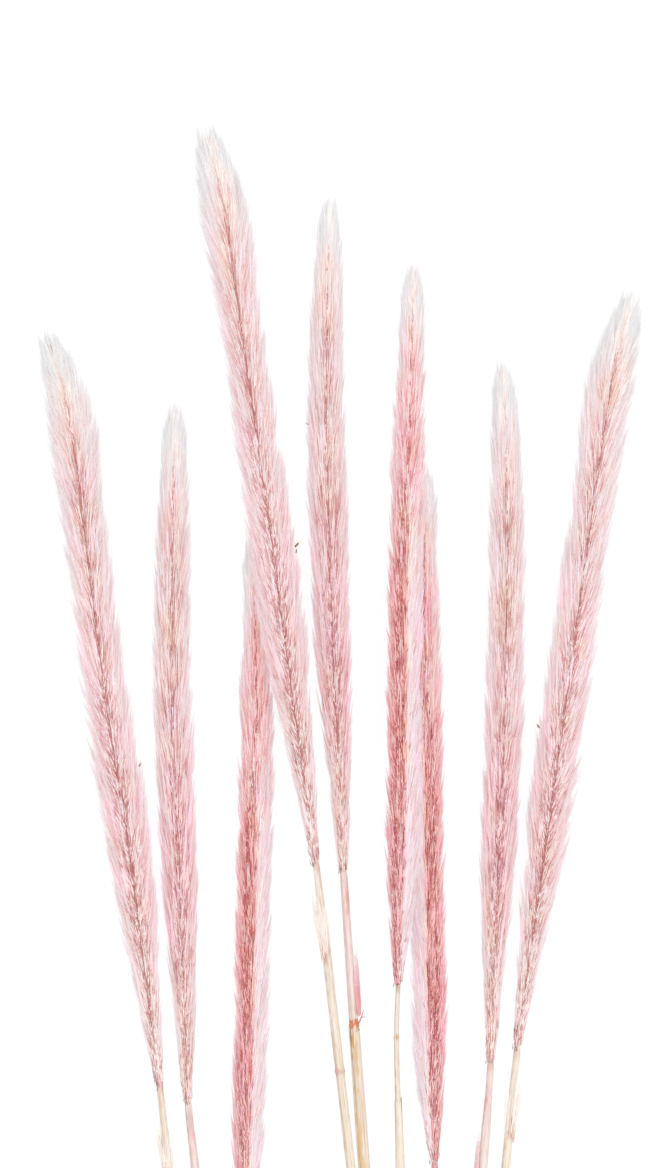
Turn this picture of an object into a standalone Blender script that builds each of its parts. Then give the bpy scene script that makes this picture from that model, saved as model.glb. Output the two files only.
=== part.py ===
"""A bundle of nine dyed fountain grasses, laid flat in a fan and bound with twine.

X runs across the fan, Y from the tie towards the tips and Z up. The bundle lies on Z = 0.
Lengths are in millimetres, measured from the middle of the tie, until the last step brings the
meshes to metres and the origin to the middle of the bundle's underside.
"""

import math
import random

import bmesh
import bpy
import numpy as np
from mathutils import Matrix, Vector

TO_METRES = 0.001
FACE_GAP = 0.3  # between pieces that touch
SHARP_ANGLE = math.radians(50)  # round pieces keep a crease at steeper edges than this
FLOOR_CUTTER = (600, 1400, 10)
FLOOR_CUTTER_Y = 350

# Plumes
FLATNESS = 0.80  # height of a plume over its width
CORE_SHARE = 0.69  # radius of the matted inside over the plume's own
CORE_FULL_FROM = 0.93  # share of the length where the inside begins to fill out to the foot
CORE_SIDES = 7
CORE_RINGS = 12
CORE_TWIST = 0.3  # turn from one ring of the inside to the next
CORE_TIP = 0.5
CORE_FROM = 0.03  # share of the plume's length where the matted inside begins
TUFTS = 84  # pointed tufts of bristle on each plume
TUFTS_FROM = 0.04
TUFTS_TO = 0.965
TUFT_UNEVEN = 0.3  # how far tufts stray along the plume, in steps between them
TUFT_TURN_UNEVEN = 0.15  # how far they stray round it, in radians
TUFT_LENGTH = 34.0
TUFT_LENGTH_UNEVEN = 0.15
TUFT_TOPMOST = (-0.006, 0.016)  # shares of the length between which the topmost points end
TUFT_REACH = (0.97, 1.08)  # how far a tuft's point comes out, over the plume's half width
TUFT_WIDTH = 3.9
TUFT_DEPTH = 2.2
TUFT_LEAST = 0.45  # size of a tuft where the plume is thinnest
TUFT_FULL_AT = 14.0  # half width that adds one whole size to it
TUFT_ROOT = 0.45  # radius of a tuft's root over the plume's own
GOLDEN_ANGLE = math.pi * (3 - math.sqrt(5))
PRESSED_BELOW = 2.2  # bristles under this height are pressed together by the weight
PRESSED_TO = 0.60

# Stems
STEM_SIDES = 7
STEM_TURN = math.radians(22.5)
STEM_STEP = 45.0
STEM_RADIUS = 2.25
JOINT_RADIUS = 2.65
JOINT_HALF = 2.2  # half the length of the swelling at a joint
JOINT_CLEAR = 4 * JOINT_HALF  # no other ring of a stem lies this near to a joint
GATHER = 380.0  # distance from the tie where the stems begin to draw together
SPREAD_EASE_TO = 0.22  # share of that distance over which they turn away from the tie
SPREAD_EVEN_TO = 0.5  # share of it up to which they then spread evenly
FLARE = 0.5  # how far the cut ends spread again below the tie
FLARE_LENGTH = 120.0

# Leaf sheaths
SHEATH_WALL = 0.7
SHEATH_SIDES = 9
SHEATH_OPEN = math.radians(50)  # the split along a sheath
SHEATH_LIP = 8.0  # how far one side of a sheath's top stands above the other
LIP_STANDS_OFF = 0.9

# Torn strips and scraps
STRIP_WALL = 0.7
STRIP_RINGS = 6
STRIP_LEAST = 0.55  # width at a strip's foot, over its own widest
STRIP_EVEN_FROM = 0.83  # share of its length above which it keeps that width
STRIP_TIP = 0.35  # width at its tip, over the width just below
SCRAP_RINGS = ((0, 0.7), (0.15, 1.15), (0.4, 0.9), (0.62, 0.3))  # share of reach, half angle
SCRAP_ACROSS = (-1, -0.33, 0.33, 1)
SPIKES = 5
SPIKE_TURN = 0.42  # from one bristle of a scrap to the next, in radians
SPIKE_ROOT = (1.5, 6)  # how far above the scrap's own foot a bristle is rooted
SPIKE_REACH = (0.75, 1.05)  # where it ends, over the scrap's reach
SPIKE_STANDS_OFF = (1.6, 2.8)
SPIKE_SUNK = 0.2
SPIKE_WIDTH = 1.5
SPIKE_DEPTH = 1.35

# Tie
TWINE = 2.0
TURNS = 5
PITCH = 0.9 * TWINE
TIE_HALF = TURNS * PITCH / 2 + 3  # the stems run straight this far each way through the tie
TIE_SIDES = 16
TURN_FACETS = 2
SLOT = 4.95  # from stem to stem inside the tie
TIE_SUNK = 0.4  # how far the twine is pressed flat underneath
KNOT = (5.2, 4.2, 3.4)
KNOT_AT = (0.3, 0.2, 0.5)  # its middle, from the top of the tie
TAIL_RINGS = 6
TAIL_SIDES = 6
TAIL_LENGTH = 17.0
TAIL_WAY = (0.62, 0.17, 0.06)  # where a tail sets out to, the first two turned with its side
TAIL_LEANS = 0.5  # how far both tails lean towards the cut ends
TAIL_DROPS = 0.32
TAIL_THICK = 0.9  # radius of a loose end over that of the twine in the tie
TAIL_ROOT = 0.6

# Half width of a plume, as (share of its length from the tip, millimetres).
BROAD = ((0, 3.4), (0.03, 6.6), (0.07, 9.6), (0.12, 12.1), (0.2, 11.0), (0.35, 10.6), (0.6, 11.9),
         (0.7, 11.0), (0.78, 9.4), (0.84, 7.0), (0.92, 4.6), (1, 2.6))
SLENDER = ((0, 2.4), (0.03, 5.0), (0.1, 6.8), (0.2, 8.5), (0.45, 10.0), (0.7, 8.9), (0.78, 7.6),
           (0.86, 5.3), (0.93, 4.2), (1, 2.6))
DENSE = ((0, 2.4), (0.03, 5.0), (0.12, 6.2), (0.2, 8.2), (0.28, 9.0), (0.8, 8.9), (0.88, 7.2),
         (0.94, 5.2), (1, 2.5))

# Each grass: its plume's outline and foot, the line that it follows as (distance from the tie,
# sideways, above the floor), its slope across the fan below that line's last point, its place in
# the tie as (sideways, row), its cut end and the places of its joints.
GRASSES = {
    1: dict(outline=BROAD, foot=419, slope=0.109, slot=(-1.5, 1), end=-92, joints=(255,),
            line=((799, -152.5, 5.2), (763, -141.5, 7.6), (688, -131, 8.4), (616, -122, 8.4),
                  (544, -111, 8.4), (472, -101.5, 7.6), (419, -95, 6.3), (380, -90.8, 6))),
    2: dict(outline=SLENDER, foot=412.5, slope=0.108, slot=(-1, 0), end=-84, joints=(200,),
            line=((762.5, -87.5, 4.0), (724, -88, 5.2), (652, -89, 5.9), (580, -87.5, 5.9),
                  (508, -84.5, 5.8), (450, -82.3, 5.7), (412.5, -81, 5.7), (380, -77.5, 6))),
    3: dict(outline=DENSE, foot=342, slope=0.07, slot=(-0.5, 1), end=-96, joints=(170,),
            line=((694, -49, 3.6), (652, -47.5, 4.4), (604, -46.8, 5.3), (508, -48.3, 5.3),
                  (436, -49.8, 5.3), (380, -51.6, 5.5), (342, -52, 5.8), (320, -51.5, 6))),
    4: dict(outline=BROAD, foot=532.5, slope=0.115, slot=(-1, 2), end=-88, joints=(429, 210),
            line=((901.5, -72.5, 10), (856, -62.5, 12), (784, -52, 15), (712, -41.5, 17.4),
                  (640, -32, 17.6), (580, -23.5, 16.2), (532.5, -17, 15), (380, 0.5, 14))),
    5: dict(outline=SLENDER, foot=527.5, slope=0.078, slot=(0, 0), end=-90, joints=(451, 265),
            line=((865, -10, 4.0), (832, -11, 5.2), (760, -12, 6.1), (688, -10.3, 6.1),
                  (616, -7.5, 6.1), (560, -4.5, 5.9), (527.5, -3.2, 5.9), (380, 7, 6))),
    6: dict(outline=DENSE, foot=472, slope=0.03, slot=(1, 2), end=-94, joints=(445.5, 240),
            line=((831.5, 31.5, 11.5), (784, 30.5, 16), (712, 28.5, 20.5), (640, 27.2, 22),
                  (550, 26.3, 21), (496, 24.8, 16.5), (472, 24, 15.5), (445, 23.2, 14.5),
                  (380, 25, 14))),
    7: dict(outline=DENSE, foot=382.5, slope=-0.03, slot=(0.5, 1), end=-86, joints=(190,),
            line=((729, 38.5, 3.6), (690, 37.4, 4.4), (640, 37.3, 5.3), (550, 38.2, 5.3),
                  (472, 39.6, 5.4), (424, 40.3, 5.6), (382.5, 42.3, 5.9), (368, 43, 6))),
    8: dict(outline=SLENDER, foot=433, slope=-0.074, slot=(1, 0), end=-95, joints=(346,),
            line=((783, 76.5, 4.2), (748, 77.8, 5.4), (688, 78.5, 6.4), (616, 77.5, 6.4),
                  (544, 74.5, 6.4), (484, 72, 6.2), (433, 70.4, 6), (380, 66.5, 6))),
    9: dict(outline=BROAD, foot=439.5, slope=-0.097, slot=(1.5, 1), end=-89, joints=(250,),
            line=((819, 141.5, 5.2), (772, 130.5, 7.8), (700, 119.7, 8.6), (628, 109.8, 8.6),
                  (556, 99.7, 8.6), (484, 89.5, 7.8), (439.5, 83.7, 6.3), (380, 77.9, 6))),
}

# Leaf sheaths round a stem: their ends and the direction of their split, from across to upwards.
SHEATHS = {5: dict(top=444, bottom=268, split=2.2), 6: dict(top=414, bottom=243, split=0.4)}

# Torn strips beside a stem: their ends, the side that they lie on and their width.
STRIPS = {5: dict(top=485.5, bottom=456, side=0.35, width=3.2),
          8: dict(top=393, bottom=349, side=2.9, width=3.0)}

# Hairy scraps left on a stem: where they are rooted, how far they reach, and their side.
SCRAPS = {1: dict(root=376, reach=32, side=2.6), 4: dict(root=489, reach=32, side=2.6),
          9: dict(root=397, reach=32, side=0.5)}

PINK = (0.86, 0.50, 0.50, 1)
STRAW = (0.80, 0.66, 0.45, 1)
STAINED = (0.84, 0.55, 0.50, 1)
JUTE = (0.52, 0.37, 0.22, 1)


def clear_scene():
    for obj in list(bpy.data.objects):
        bpy.data.objects.remove(obj, do_unlink=True)


def finish(name, colour, roughness):
    found = bpy.data.materials.get(name)
    if found:
        return found
    made = bpy.data.materials.new(name)
    made.use_nodes = True
    shader = made.node_tree.nodes["Principled BSDF"]
    shader.inputs["Base Color"].default_value = colour
    shader.inputs["Roughness"].default_value = roughness
    shader.inputs["Metallic"].default_value = 0
    return made


def bristle_finish():
    return finish("pink bristle", PINK, 0.75)


def straw_finish():
    return finish("straw", STRAW, 0.55)


def stained_finish():
    return finish("pink stained sheath", STAINED, 0.6)


def twine_finish():
    return finish("jute twine", JUTE, 0.9)


def object_of(name, bm, collection=None):
    """One object from a bmesh, its faces turned outwards."""
    bmesh.ops.recalc_face_normals(bm, faces=bm.faces)
    mesh = bpy.data.meshes.new(name)
    bm.to_mesh(mesh)
    bm.free()
    obj = bpy.data.objects.new(name, mesh)
    (collection or bpy.context.scene.collection).objects.link(obj)
    return obj


def dress(obj, material, smooth):
    obj.data.materials.clear()
    obj.data.materials.append(material)
    if smooth:
        obj.data.shade_smooth()
        obj.data.set_sharp_from_angle(angle=SHARP_ANGLE)


def loft(rings, ends="capped"):
    """A closed bmesh through rings of the same number of points.

    Its ends are capped, joined to each other, or, on a bent sheet whose rings run along its inner
    face and back along its outer one, walled.
    """
    bm = bmesh.new()
    loops = [[bm.verts.new(point) for point in ring] for ring in rings]
    if ends == "joined":
        loops.append(loops[0])
    sides = len(loops[0])
    for low, high in zip(loops, loops[1:]):
        for i in range(sides):
            j = (i + 1) % sides
            bm.faces.new((low[i], low[j], high[j], high[i]))
    for loop in (loops[0], loops[-1]):
        if ends == "capped":
            bm.faces.new(loop)
        if ends == "walled":
            for i in range(sides // 2 - 1):
                bm.faces.new((loop[i], loop[i + 1], loop[sides - 2 - i], loop[sides - 1 - i]))
    bmesh.ops.triangulate(bm, faces=bm.faces)
    return bm


def settle(obj):
    """Makes the mesh what the object's modifiers leave of it."""
    graph = bpy.context.evaluated_depsgraph_get()
    mesh = bpy.data.meshes.new_from_object(obj.evaluated_get(graph))
    obj.modifiers.clear()
    obj.data = mesh


def keep_largest(obj):
    """Drops loose scraps, and the walls of any hollow that is sealed inside."""
    bm = bmesh.new()
    bm.from_mesh(obj.data)
    left = set(bm.faces)
    groups = []
    while left:
        group, waiting = set(), [left.pop()]
        while waiting:
            face = waiting.pop()
            group.add(face)
            for near in {other for edge in face.edges for other in edge.link_faces} & left:
                left.discard(near)
                waiting.append(near)
        groups.append(group)
    largest = max(groups, key=len)
    bmesh.ops.delete(bm, geom=[face for face in bm.faces if face not in largest], context="FACES")
    bm.to_mesh(obj.data)
    bm.free()


def new_helpers():
    helpers = bpy.data.collections.new("helpers")
    bpy.context.scene.collection.children.link(helpers)
    return helpers


def fuse(obj, helpers):
    """Joins everything in the collection to the object by one Boolean union, then removes it."""
    join = obj.modifiers.new("join", "BOOLEAN")
    join.operation = "UNION"
    join.operand_type = "COLLECTION"
    join.collection = helpers
    join.solver = "MANIFOLD"
    settle(obj)
    for helper in list(helpers.objects):
        bpy.data.objects.remove(helper, do_unlink=True)
    bpy.data.collections.remove(helpers)
    keep_largest(obj)


def floor_cutter():
    bm = bmesh.new()
    bmesh.ops.create_cube(bm, size=1, matrix=Matrix.Diagonal((*FLOOR_CUTTER, 1)))
    bmesh.ops.translate(bm, vec=(0, FLOOR_CUTTER_Y, -FLOOR_CUTTER[2] / 2), verts=bm.verts)
    floor = object_of("floor_cutter", bm)
    floor.hide_render = True
    floor.display_type = "WIRE"
    return floor


def cut_flat(obj, floor):
    """Takes off what reaches below the floor, which leaves small flat spots to rest on."""
    cut = obj.modifiers.new("floor", "BOOLEAN")
    cut.operation = "DIFFERENCE"
    cut.object = floor
    cut.solver = "MANIFOLD"
    settle(obj)


def through(points, y):
    """The smooth curve through (y, value) points, which run down in y, at y."""
    ys = [point[0] for point in points]
    if y >= ys[0]:
        return points[0][1]
    k = next(i for i in range(len(ys) - 1) if y >= ys[i + 1])

    def slope(i):
        before, after = points[max(i - 1, 0)], points[min(i + 1, len(points) - 1)]
        return (after[1] - before[1]) / (after[0] - before[0])

    step = ys[k + 1] - ys[k]
    t = (y - ys[k]) / step
    start, end = points[k][1], points[k + 1][1]
    return ((2 * t ** 3 - 3 * t ** 2 + 1) * start + (t ** 3 - 2 * t ** 2 + t) * step * slope(k)
            + (3 * t ** 2 - 2 * t ** 3) * end + (t ** 3 - t ** 2) * step * slope(k + 1))


def eased(t):
    t = min(max(t, 0), 1)
    return t * t * (3 - 2 * t)


def drawn_apart(y):
    """How far the stems have come apart: none at the tie, wholly where they began to gather."""
    t = min(max(y / GATHER, 0), 1)
    steepest = 2 / (1 + SPREAD_EVEN_TO - SPREAD_EASE_TO)
    if t < SPREAD_EASE_TO:
        return steepest * t * t / SPREAD_EASE_TO / 2
    if t < SPREAD_EVEN_TO:
        return steepest * (t - SPREAD_EASE_TO / 2)
    return 1 - steepest * (1 - t) ** 2 / (1 - SPREAD_EVEN_TO) / 2


def slot_centre(grass):
    """Where a stem passes through the tie: sideways, and above the floor."""
    side, row = grass["slot"]
    lowest = TWINE + FACE_GAP + STEM_RADIUS - TIE_SUNK
    return side * SLOT, lowest + row * SLOT * math.sin(math.radians(60))


def centre(grass, y):
    """The middle of a grass at a distance from the tie."""
    line = grass["line"]
    last, x, z = line[-1]
    if y >= last:
        x = through([(point[0], point[1]) for point in line], y)
        z = through([(point[0], point[2]) for point in line], y)
    else:
        x += grass["slope"] * (last - y)
    apart = drawn_apart(y)
    slot_x, slot_z = slot_centre(grass)
    slot_x *= 1 + FLARE * eased(-y / FLARE_LENGTH)
    return Vector((x * apart + slot_x * (1 - apart), y, z * apart + slot_z * (1 - apart)))


def axes_at(grass, y):
    """Directions at a distance from the tie: towards the tip, across and upwards."""
    along = (centre(grass, y + 1) - centre(grass, y - 1)).normalized()
    across = along.cross(Vector((0, 0, 1))).normalized()
    return along, across, across.cross(along)


def ring_at(grass, y, wide, high, sides, turn=0.0):
    middle = centre(grass, y)
    _, across, up = axes_at(grass, y)
    angles = [turn + 2 * math.pi * i / sides for i in range(sides)]
    return [middle + across * wide * math.cos(a) + up * high * math.sin(a) for a in angles]


def pressed(point):
    """Bristles near the floor lie closer together."""
    if point.z >= PRESSED_BELOW:
        return point
    return Vector((point.x, point.y, PRESSED_BELOW - (PRESSED_BELOW - point.z) * PRESSED_TO))


def half_width(grass, share):
    shares, widths = zip(*grass["outline"])
    return float(np.interp(share, shares, widths))


def at_share(grass, share):
    """Distance from the tie at a share of the plume's length from its tip."""
    top = grass["line"][0][0]
    return top + (grass["foot"] - top) * share


def core(grass, name):
    """The matted inside of a plume, which the tufts stand out of. It narrows to the stem."""
    rings = []
    for i in range(CORE_RINGS + 1):
        share = CORE_FROM + (1 - CORE_FROM) * i / CORE_RINGS
        filled = eased((share - CORE_FULL_FROM) / (1 - CORE_FULL_FROM))
        filled = CORE_SHARE + (1 - CORE_SHARE) * filled
        wide = half_width(grass, share) * filled if i else CORE_TIP
        high = wide * FLATNESS if i < CORE_RINGS else wide
        ring = ring_at(grass, at_share(grass, share), wide, high, CORE_SIDES, CORE_TWIST * i)
        rings.append([pressed(point) for point in ring])
    return object_of(name, loft(rings))


def tuft(grass, share, angle, draw, helpers):
    """One three-sided tuft, rooted in the core, with its point on the plume's outline."""
    top, foot = grass["line"][0][0], grass["foot"]
    length = TUFT_LENGTH * draw.uniform(1 - TUFT_LENGTH_UNEVEN, 1 + TUFT_LENGTH_UNEVEN)
    tip_share = max(share - length / (top - foot), draw.uniform(*TUFT_TOPMOST))
    _, across, up = axes_at(grass, at_share(grass, share))

    def outwards(turned):
        return across * math.cos(turned) + up * FLATNESS * math.sin(turned)

    out = outwards(angle)
    beside = up * math.cos(angle) - across * math.sin(angle)
    radius = half_width(grass, share)
    size = min(1, TUFT_LEAST + radius / TUFT_FULL_AT)
    root = centre(grass, at_share(grass, share)) + out * radius * TUFT_ROOT
    tip_angle = angle + draw.uniform(-TUFT_TURN_UNEVEN, TUFT_TURN_UNEVEN)
    reach = half_width(grass, tip_share) * draw.uniform(*TUFT_REACH)
    tip = centre(grass, at_share(grass, tip_share)) + outwards(tip_angle) * reach
    wide, deep = beside * TUFT_WIDTH * size / 2, out * TUFT_DEPTH * size / 2
    bm = bmesh.new()
    corners = (root - deep + wide, root - deep - wide, root + deep, tip)
    verts = [bm.verts.new(pressed(corner)) for corner in corners]
    for face in ((0, 1, 2), (0, 3, 1), (1, 3, 2), (2, 3, 0)):
        bm.faces.new([verts[i] for i in face])
    object_of("tuft", bm, helpers)


def plume(number, grass, floor):
    obj = core(grass, f"plume_{number}")
    helpers = new_helpers()
    draw = random.Random(100 + number)
    for i in range(TUFTS):
        place = (i + draw.uniform(-TUFT_UNEVEN, TUFT_UNEVEN)) / TUFTS
        share = TUFTS_FROM + (TUFTS_TO - TUFTS_FROM) * place
        angle = i * GOLDEN_ANGLE + draw.uniform(-TUFT_TURN_UNEVEN, TUFT_TURN_UNEVEN)
        tuft(grass, share, angle, draw, helpers)
    fuse(obj, helpers)
    cut_flat(obj, floor)
    dress(obj, bristle_finish(), smooth=False)
    return obj


def stem_radius(grass, y):
    """The culm swells at each joint."""
    near = min(abs(y - joint) for joint in grass["joints"])
    return STEM_RADIUS + (JOINT_RADIUS - STEM_RADIUS) * (1 - eased(near / JOINT_HALF))


def stations(grass):
    """Where a culm's rings are, from its cut end to the plume's foot."""
    top = grass["foot"] - FACE_GAP
    count = math.ceil((top - grass["end"]) / STEM_STEP)
    places = [grass["end"] + (top - grass["end"]) * i / count for i in range(count + 1)]
    for joint in grass["joints"]:
        places = [y for y in places if abs(y - joint) > JOINT_CLEAR or y in (top, grass["end"])]
        places += [joint - JOINT_HALF, joint, joint + JOINT_HALF]
    places = [y for y in places if abs(y) > 2 * TIE_HALF] + [-TIE_HALF, TIE_HALF]
    return sorted(places)


def round_stem(grass, y, turn, radius):
    """A point beside a culm, which runs straight from one of its rings to the next."""
    places = stations(grass)
    below = max([at for at in places if at <= y] or places[:1])
    above = min([at for at in places if at > y] or places[-1:])
    middle = centre(grass, below)
    if above > below:
        middle = middle.lerp(centre(grass, above), (y - below) / (above - below))
    _, across, up = axes_at(grass, y)
    return middle + (across * math.cos(turn) + up * math.sin(turn)) * radius


def stem(number, grass):
    rings = []
    for y in stations(grass):
        radius = stem_radius(grass, y)
        rings.append(ring_at(grass, y, radius, radius, STEM_SIDES, STEM_TURN))
    obj = object_of(f"stem_{number}", loft(rings))
    dress(obj, straw_finish(), smooth=True)
    return obj


def sheath(number, shape):
    """A leaf sheath wrapped round its stem and split along one side, with a pointed lip on top."""
    grass = GRASSES[number]
    inner = STEM_RADIUS + FACE_GAP
    span = 2 * math.pi - SHEATH_OPEN
    bottom, top = shape["bottom"], shape["top"]
    rings = []
    for y in [bottom] + [at for at in stations(grass) if bottom < at < top] + [top]:
        ring = []
        for radius, order in ((inner, 1), (inner + SHEATH_WALL, -1)):
            for k in range(SHEATH_SIDES + 1)[::order]:
                turn = shape["split"] + SHEATH_OPEN / 2 + span * k / SHEATH_SIDES
                lip = (k / SHEATH_SIDES) ** 2 if y == top else 0
                out = radius + LIP_STANDS_OFF * lip
                ring.append(round_stem(grass, y + SHEATH_LIP * lip, turn, out))
        rings.append(ring)
    obj = object_of(f"sheath_{number}", loft(rings, "walled"))
    dress(obj, straw_finish(), smooth=True)
    return obj


def strip(number, shape):
    """A torn strip of sheath that stands beside its stem, curved as the stem is round."""
    grass = GRASSES[number]
    inner = JOINT_RADIUS + FACE_GAP
    rings = []
    for i in range(STRIP_RINGS):
        share = i / (STRIP_RINGS - 1)
        y = shape["bottom"] + (shape["top"] - shape["bottom"]) * share
        swell = STRIP_LEAST + (1 - STRIP_LEAST) * math.sin(math.pi * min(share / STRIP_EVEN_FROM, 1))
        angle = shape["width"] / inner * swell * (STRIP_TIP if share == 1 else 1)
        ring = []
        for radius, order in ((inner, 1), (inner + STRIP_WALL, -1)):
            for k in (-0.5, 0, 0.5)[::order]:
                ring.append(round_stem(grass, y, shape["side"] + angle * k, radius))
        rings.append(ring)
    obj = object_of(f"scrap_{number}", loft(rings, "walled"))
    dress(obj, stained_finish(), smooth=True)
    return obj


def spike(root, tip, helpers):
    """One three-sided bristle."""
    along = (tip - root).normalized()
    beside = along.cross(Vector((0, 0, 1))).normalized() * SPIKE_WIDTH / 2
    deep = beside.normalized().cross(along) * SPIKE_DEPTH / 2
    bm = bmesh.new()
    corners = (root + beside - deep, root - beside - deep, root + deep, tip)
    verts = [bm.verts.new(corner) for corner in corners]
    for face in ((0, 1, 2), (0, 3, 1), (1, 3, 2), (2, 3, 0)):
        bm.faces.new([verts[i] for i in face])
    object_of("spike", bm, helpers)


def scrap(number, shape):
    """A scrap of torn sheath on the stem, with bristles that stand up from it on both sides."""
    grass = GRASSES[number]
    inner = STEM_RADIUS + FACE_GAP
    draw = random.Random(40 + number)
    rings = []
    for share, half in SCRAP_RINGS:
        y = shape["root"] + shape["reach"] * share
        ring = []
        for radius, order in ((inner, 1), (inner + STRIP_WALL, -1)):
            for k in SCRAP_ACROSS[::order]:
                ring.append(round_stem(grass, y, shape["side"] + half * k, radius))
        rings.append(ring)
    obj = object_of(f"scrap_{number}", loft(rings, "walled"))
    helpers = new_helpers()
    for k in range(SPIKES):
        turn = shape["side"] + SPIKE_TURN * (k - (SPIKES - 1) / 2)
        low = shape["root"] + draw.uniform(*SPIKE_ROOT)
        high = shape["root"] + shape["reach"] * draw.uniform(*SPIKE_REACH)
        root = round_stem(grass, low, turn, inner + STRIP_WALL + SPIKE_SUNK)
        tip = round_stem(grass, high, turn, inner + draw.uniform(*SPIKE_STANDS_OFF))
        spike(root, tip, helpers)
    fuse(obj, helpers)
    dress(obj, stained_finish(), smooth=False)
    return obj


def round_the_stems(offset):
    """The taut line round the stems inside the tie, a set distance outside them."""
    slots = [slot_centre(grass) for grass in GRASSES.values()]
    points = []
    for i in range(TIE_SIDES):
        turn = 2 * math.pi * i / TIE_SIDES - math.pi / 2
        way = (math.cos(turn), math.sin(turn))
        slot = max(slots, key=lambda place: place[0] * way[0] + place[1] * way[1])
        reach = STEM_RADIUS + offset
        points.append((slot[0] + way[0] * reach, slot[1] + way[1] * reach))
    return points


def tie(floor):
    """Turns of twine laid side by side round the stems, with a knot and two short ends on top."""
    inside = round_the_stems(FACE_GAP)
    half = TURNS * PITCH / 2
    profile = [(-half, 0.0), (half, 0.0)]
    for turn in range(TURNS - 1, -1, -1):
        for k in range(TURN_FACETS, -1, -1):
            if k == TURN_FACETS and turn < TURNS - 1:
                continue
            across = (2 * k / TURN_FACETS - 1) * PITCH / 2
            thick = TWINE / 2 + math.sqrt(max((TWINE / 2) ** 2 - across ** 2, 0))
            profile.append((-half + (turn + 0.5) * PITCH + across, thick))
    rings = []
    for i, (x, z) in enumerate(inside):
        turn = 2 * math.pi * i / TIE_SIDES - math.pi / 2
        way = Vector((math.cos(turn), 0, math.sin(turn)))
        rings.append([Vector((x, y, z)) + way * out for y, out in profile])
    obj = object_of("tie", loft(rings, "joined"))
    helpers = new_helpers()
    knot_at = Vector(KNOT_AT) + Vector((0, 0, max(z for _, z in inside) + TWINE))
    bm = bmesh.new()
    bmesh.ops.create_icosphere(bm, subdivisions=1, radius=1)
    bmesh.ops.scale(bm, vec=[size / 2 for size in KNOT], verts=bm.verts)
    bmesh.ops.translate(bm, vec=knot_at, verts=bm.verts)
    object_of("knot", bm, helpers)
    for side in (-1, 1):
        tail(side, knot_at, helpers)
    fuse(obj, helpers)
    cut_flat(obj, floor)
    dress(obj, twine_finish(), smooth=True)
    return obj


def tail(side, start, helpers):
    """A short cut end of the twine, from the knot down over the bundle's shoulder."""
    out, ahead, rise = TAIL_WAY
    rings = []
    for i in range(TAIL_RINGS):
        t = i / (TAIL_RINGS - 1)
        level = Vector((side * out, side * ahead - TAIL_LEANS, rise))
        place = start + (level * t - Vector((0, 0, TAIL_DROPS * t * t))) * TAIL_LENGTH
        along = (level - Vector((0, 0, 2 * TAIL_DROPS * t))).normalized()
        beside = along.cross(Vector((0, 0, 1))).normalized()
        up = beside.cross(along)
        radius = TWINE / 2 * (TAIL_THICK if i else TAIL_ROOT)
        turns = [2 * math.pi * k / TAIL_SIDES for k in range(TAIL_SIDES)]
        rings.append([place + (beside * math.cos(a) + up * math.sin(a)) * radius for a in turns])
    object_of("tail", loft(rings), helpers)


def place_all(objects):
    """Brings the meshes to metres, each with its origin at its own lower end, under one empty."""
    corners = np.array([vert.co for obj in objects for vert in obj.data.vertices])
    low, high = corners.min(axis=0), corners.max(axis=0)
    bundle = bpy.data.objects.new("bundle", None)
    bpy.context.scene.collection.objects.link(bundle)
    middle = Vector(((low[0] + high[0]) / 2, (low[1] + high[1]) / 2, 0))
    bundle.location = -middle * TO_METRES
    for obj in objects:
        lowest = min((vert.co for vert in obj.data.vertices), key=lambda co: co.y).copy()
        lowest.z = 0
        obj.data.transform(Matrix.Scale(TO_METRES, 4) @ Matrix.Translation(-lowest))
        obj.location = lowest * TO_METRES
        obj.parent = bundle


def main():
    clear_scene()
    floor = floor_cutter()
    objects = []
    for number, grass in GRASSES.items():
        objects.append(plume(number, grass, floor))
        objects.append(stem(number, grass))
    for number, shape in SHEATHS.items():
        objects.append(sheath(number, shape))
    for number, shape in STRIPS.items():
        objects.append(strip(number, shape))
    for number, shape in SCRAPS.items():
        objects.append(scrap(number, shape))
    objects.append(tie(floor))
    bpy.data.objects.remove(floor, do_unlink=True)
    place_all(objects)


main()
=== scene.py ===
import math

import bpy
import numpy as np
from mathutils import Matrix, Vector


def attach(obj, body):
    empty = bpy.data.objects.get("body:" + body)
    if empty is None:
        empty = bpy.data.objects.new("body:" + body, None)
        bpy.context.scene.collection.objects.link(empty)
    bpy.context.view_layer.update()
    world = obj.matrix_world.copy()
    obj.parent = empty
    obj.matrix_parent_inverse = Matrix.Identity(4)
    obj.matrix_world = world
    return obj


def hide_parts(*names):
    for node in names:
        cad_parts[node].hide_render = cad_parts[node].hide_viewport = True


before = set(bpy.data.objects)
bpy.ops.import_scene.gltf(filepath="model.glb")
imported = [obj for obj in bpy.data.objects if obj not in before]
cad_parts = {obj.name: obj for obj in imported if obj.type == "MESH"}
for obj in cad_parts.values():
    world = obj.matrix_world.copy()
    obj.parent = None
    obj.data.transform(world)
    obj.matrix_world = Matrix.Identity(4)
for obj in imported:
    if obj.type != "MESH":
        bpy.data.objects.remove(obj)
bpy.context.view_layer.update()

print("frame loaded")

# The grasses lie where their CAD solids do. Lengths are in millimetres from the tie's middle,
# and become metres in the CAD's frame when a mesh is made.
layout = {
    "tieAt": (5.3, -402.73), "gather": 380.0, "easeTo": 0.22, "evenTo": 0.5, "slotWidth": 4.95,
    "flare": 0.5, "flareLength": 120.0, "stemRadius": 2.25, "jointRadius": 2.65, "twine": 2.0,
    "sunk": 0.4, "gap": 0.3, "flatness": 0.80, "pressedBelow": 2.2, "pressedTo": 0.60,
    "lowest": 0.15, "twineLowest": 0.02, "metres": 0.001,
}

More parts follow.
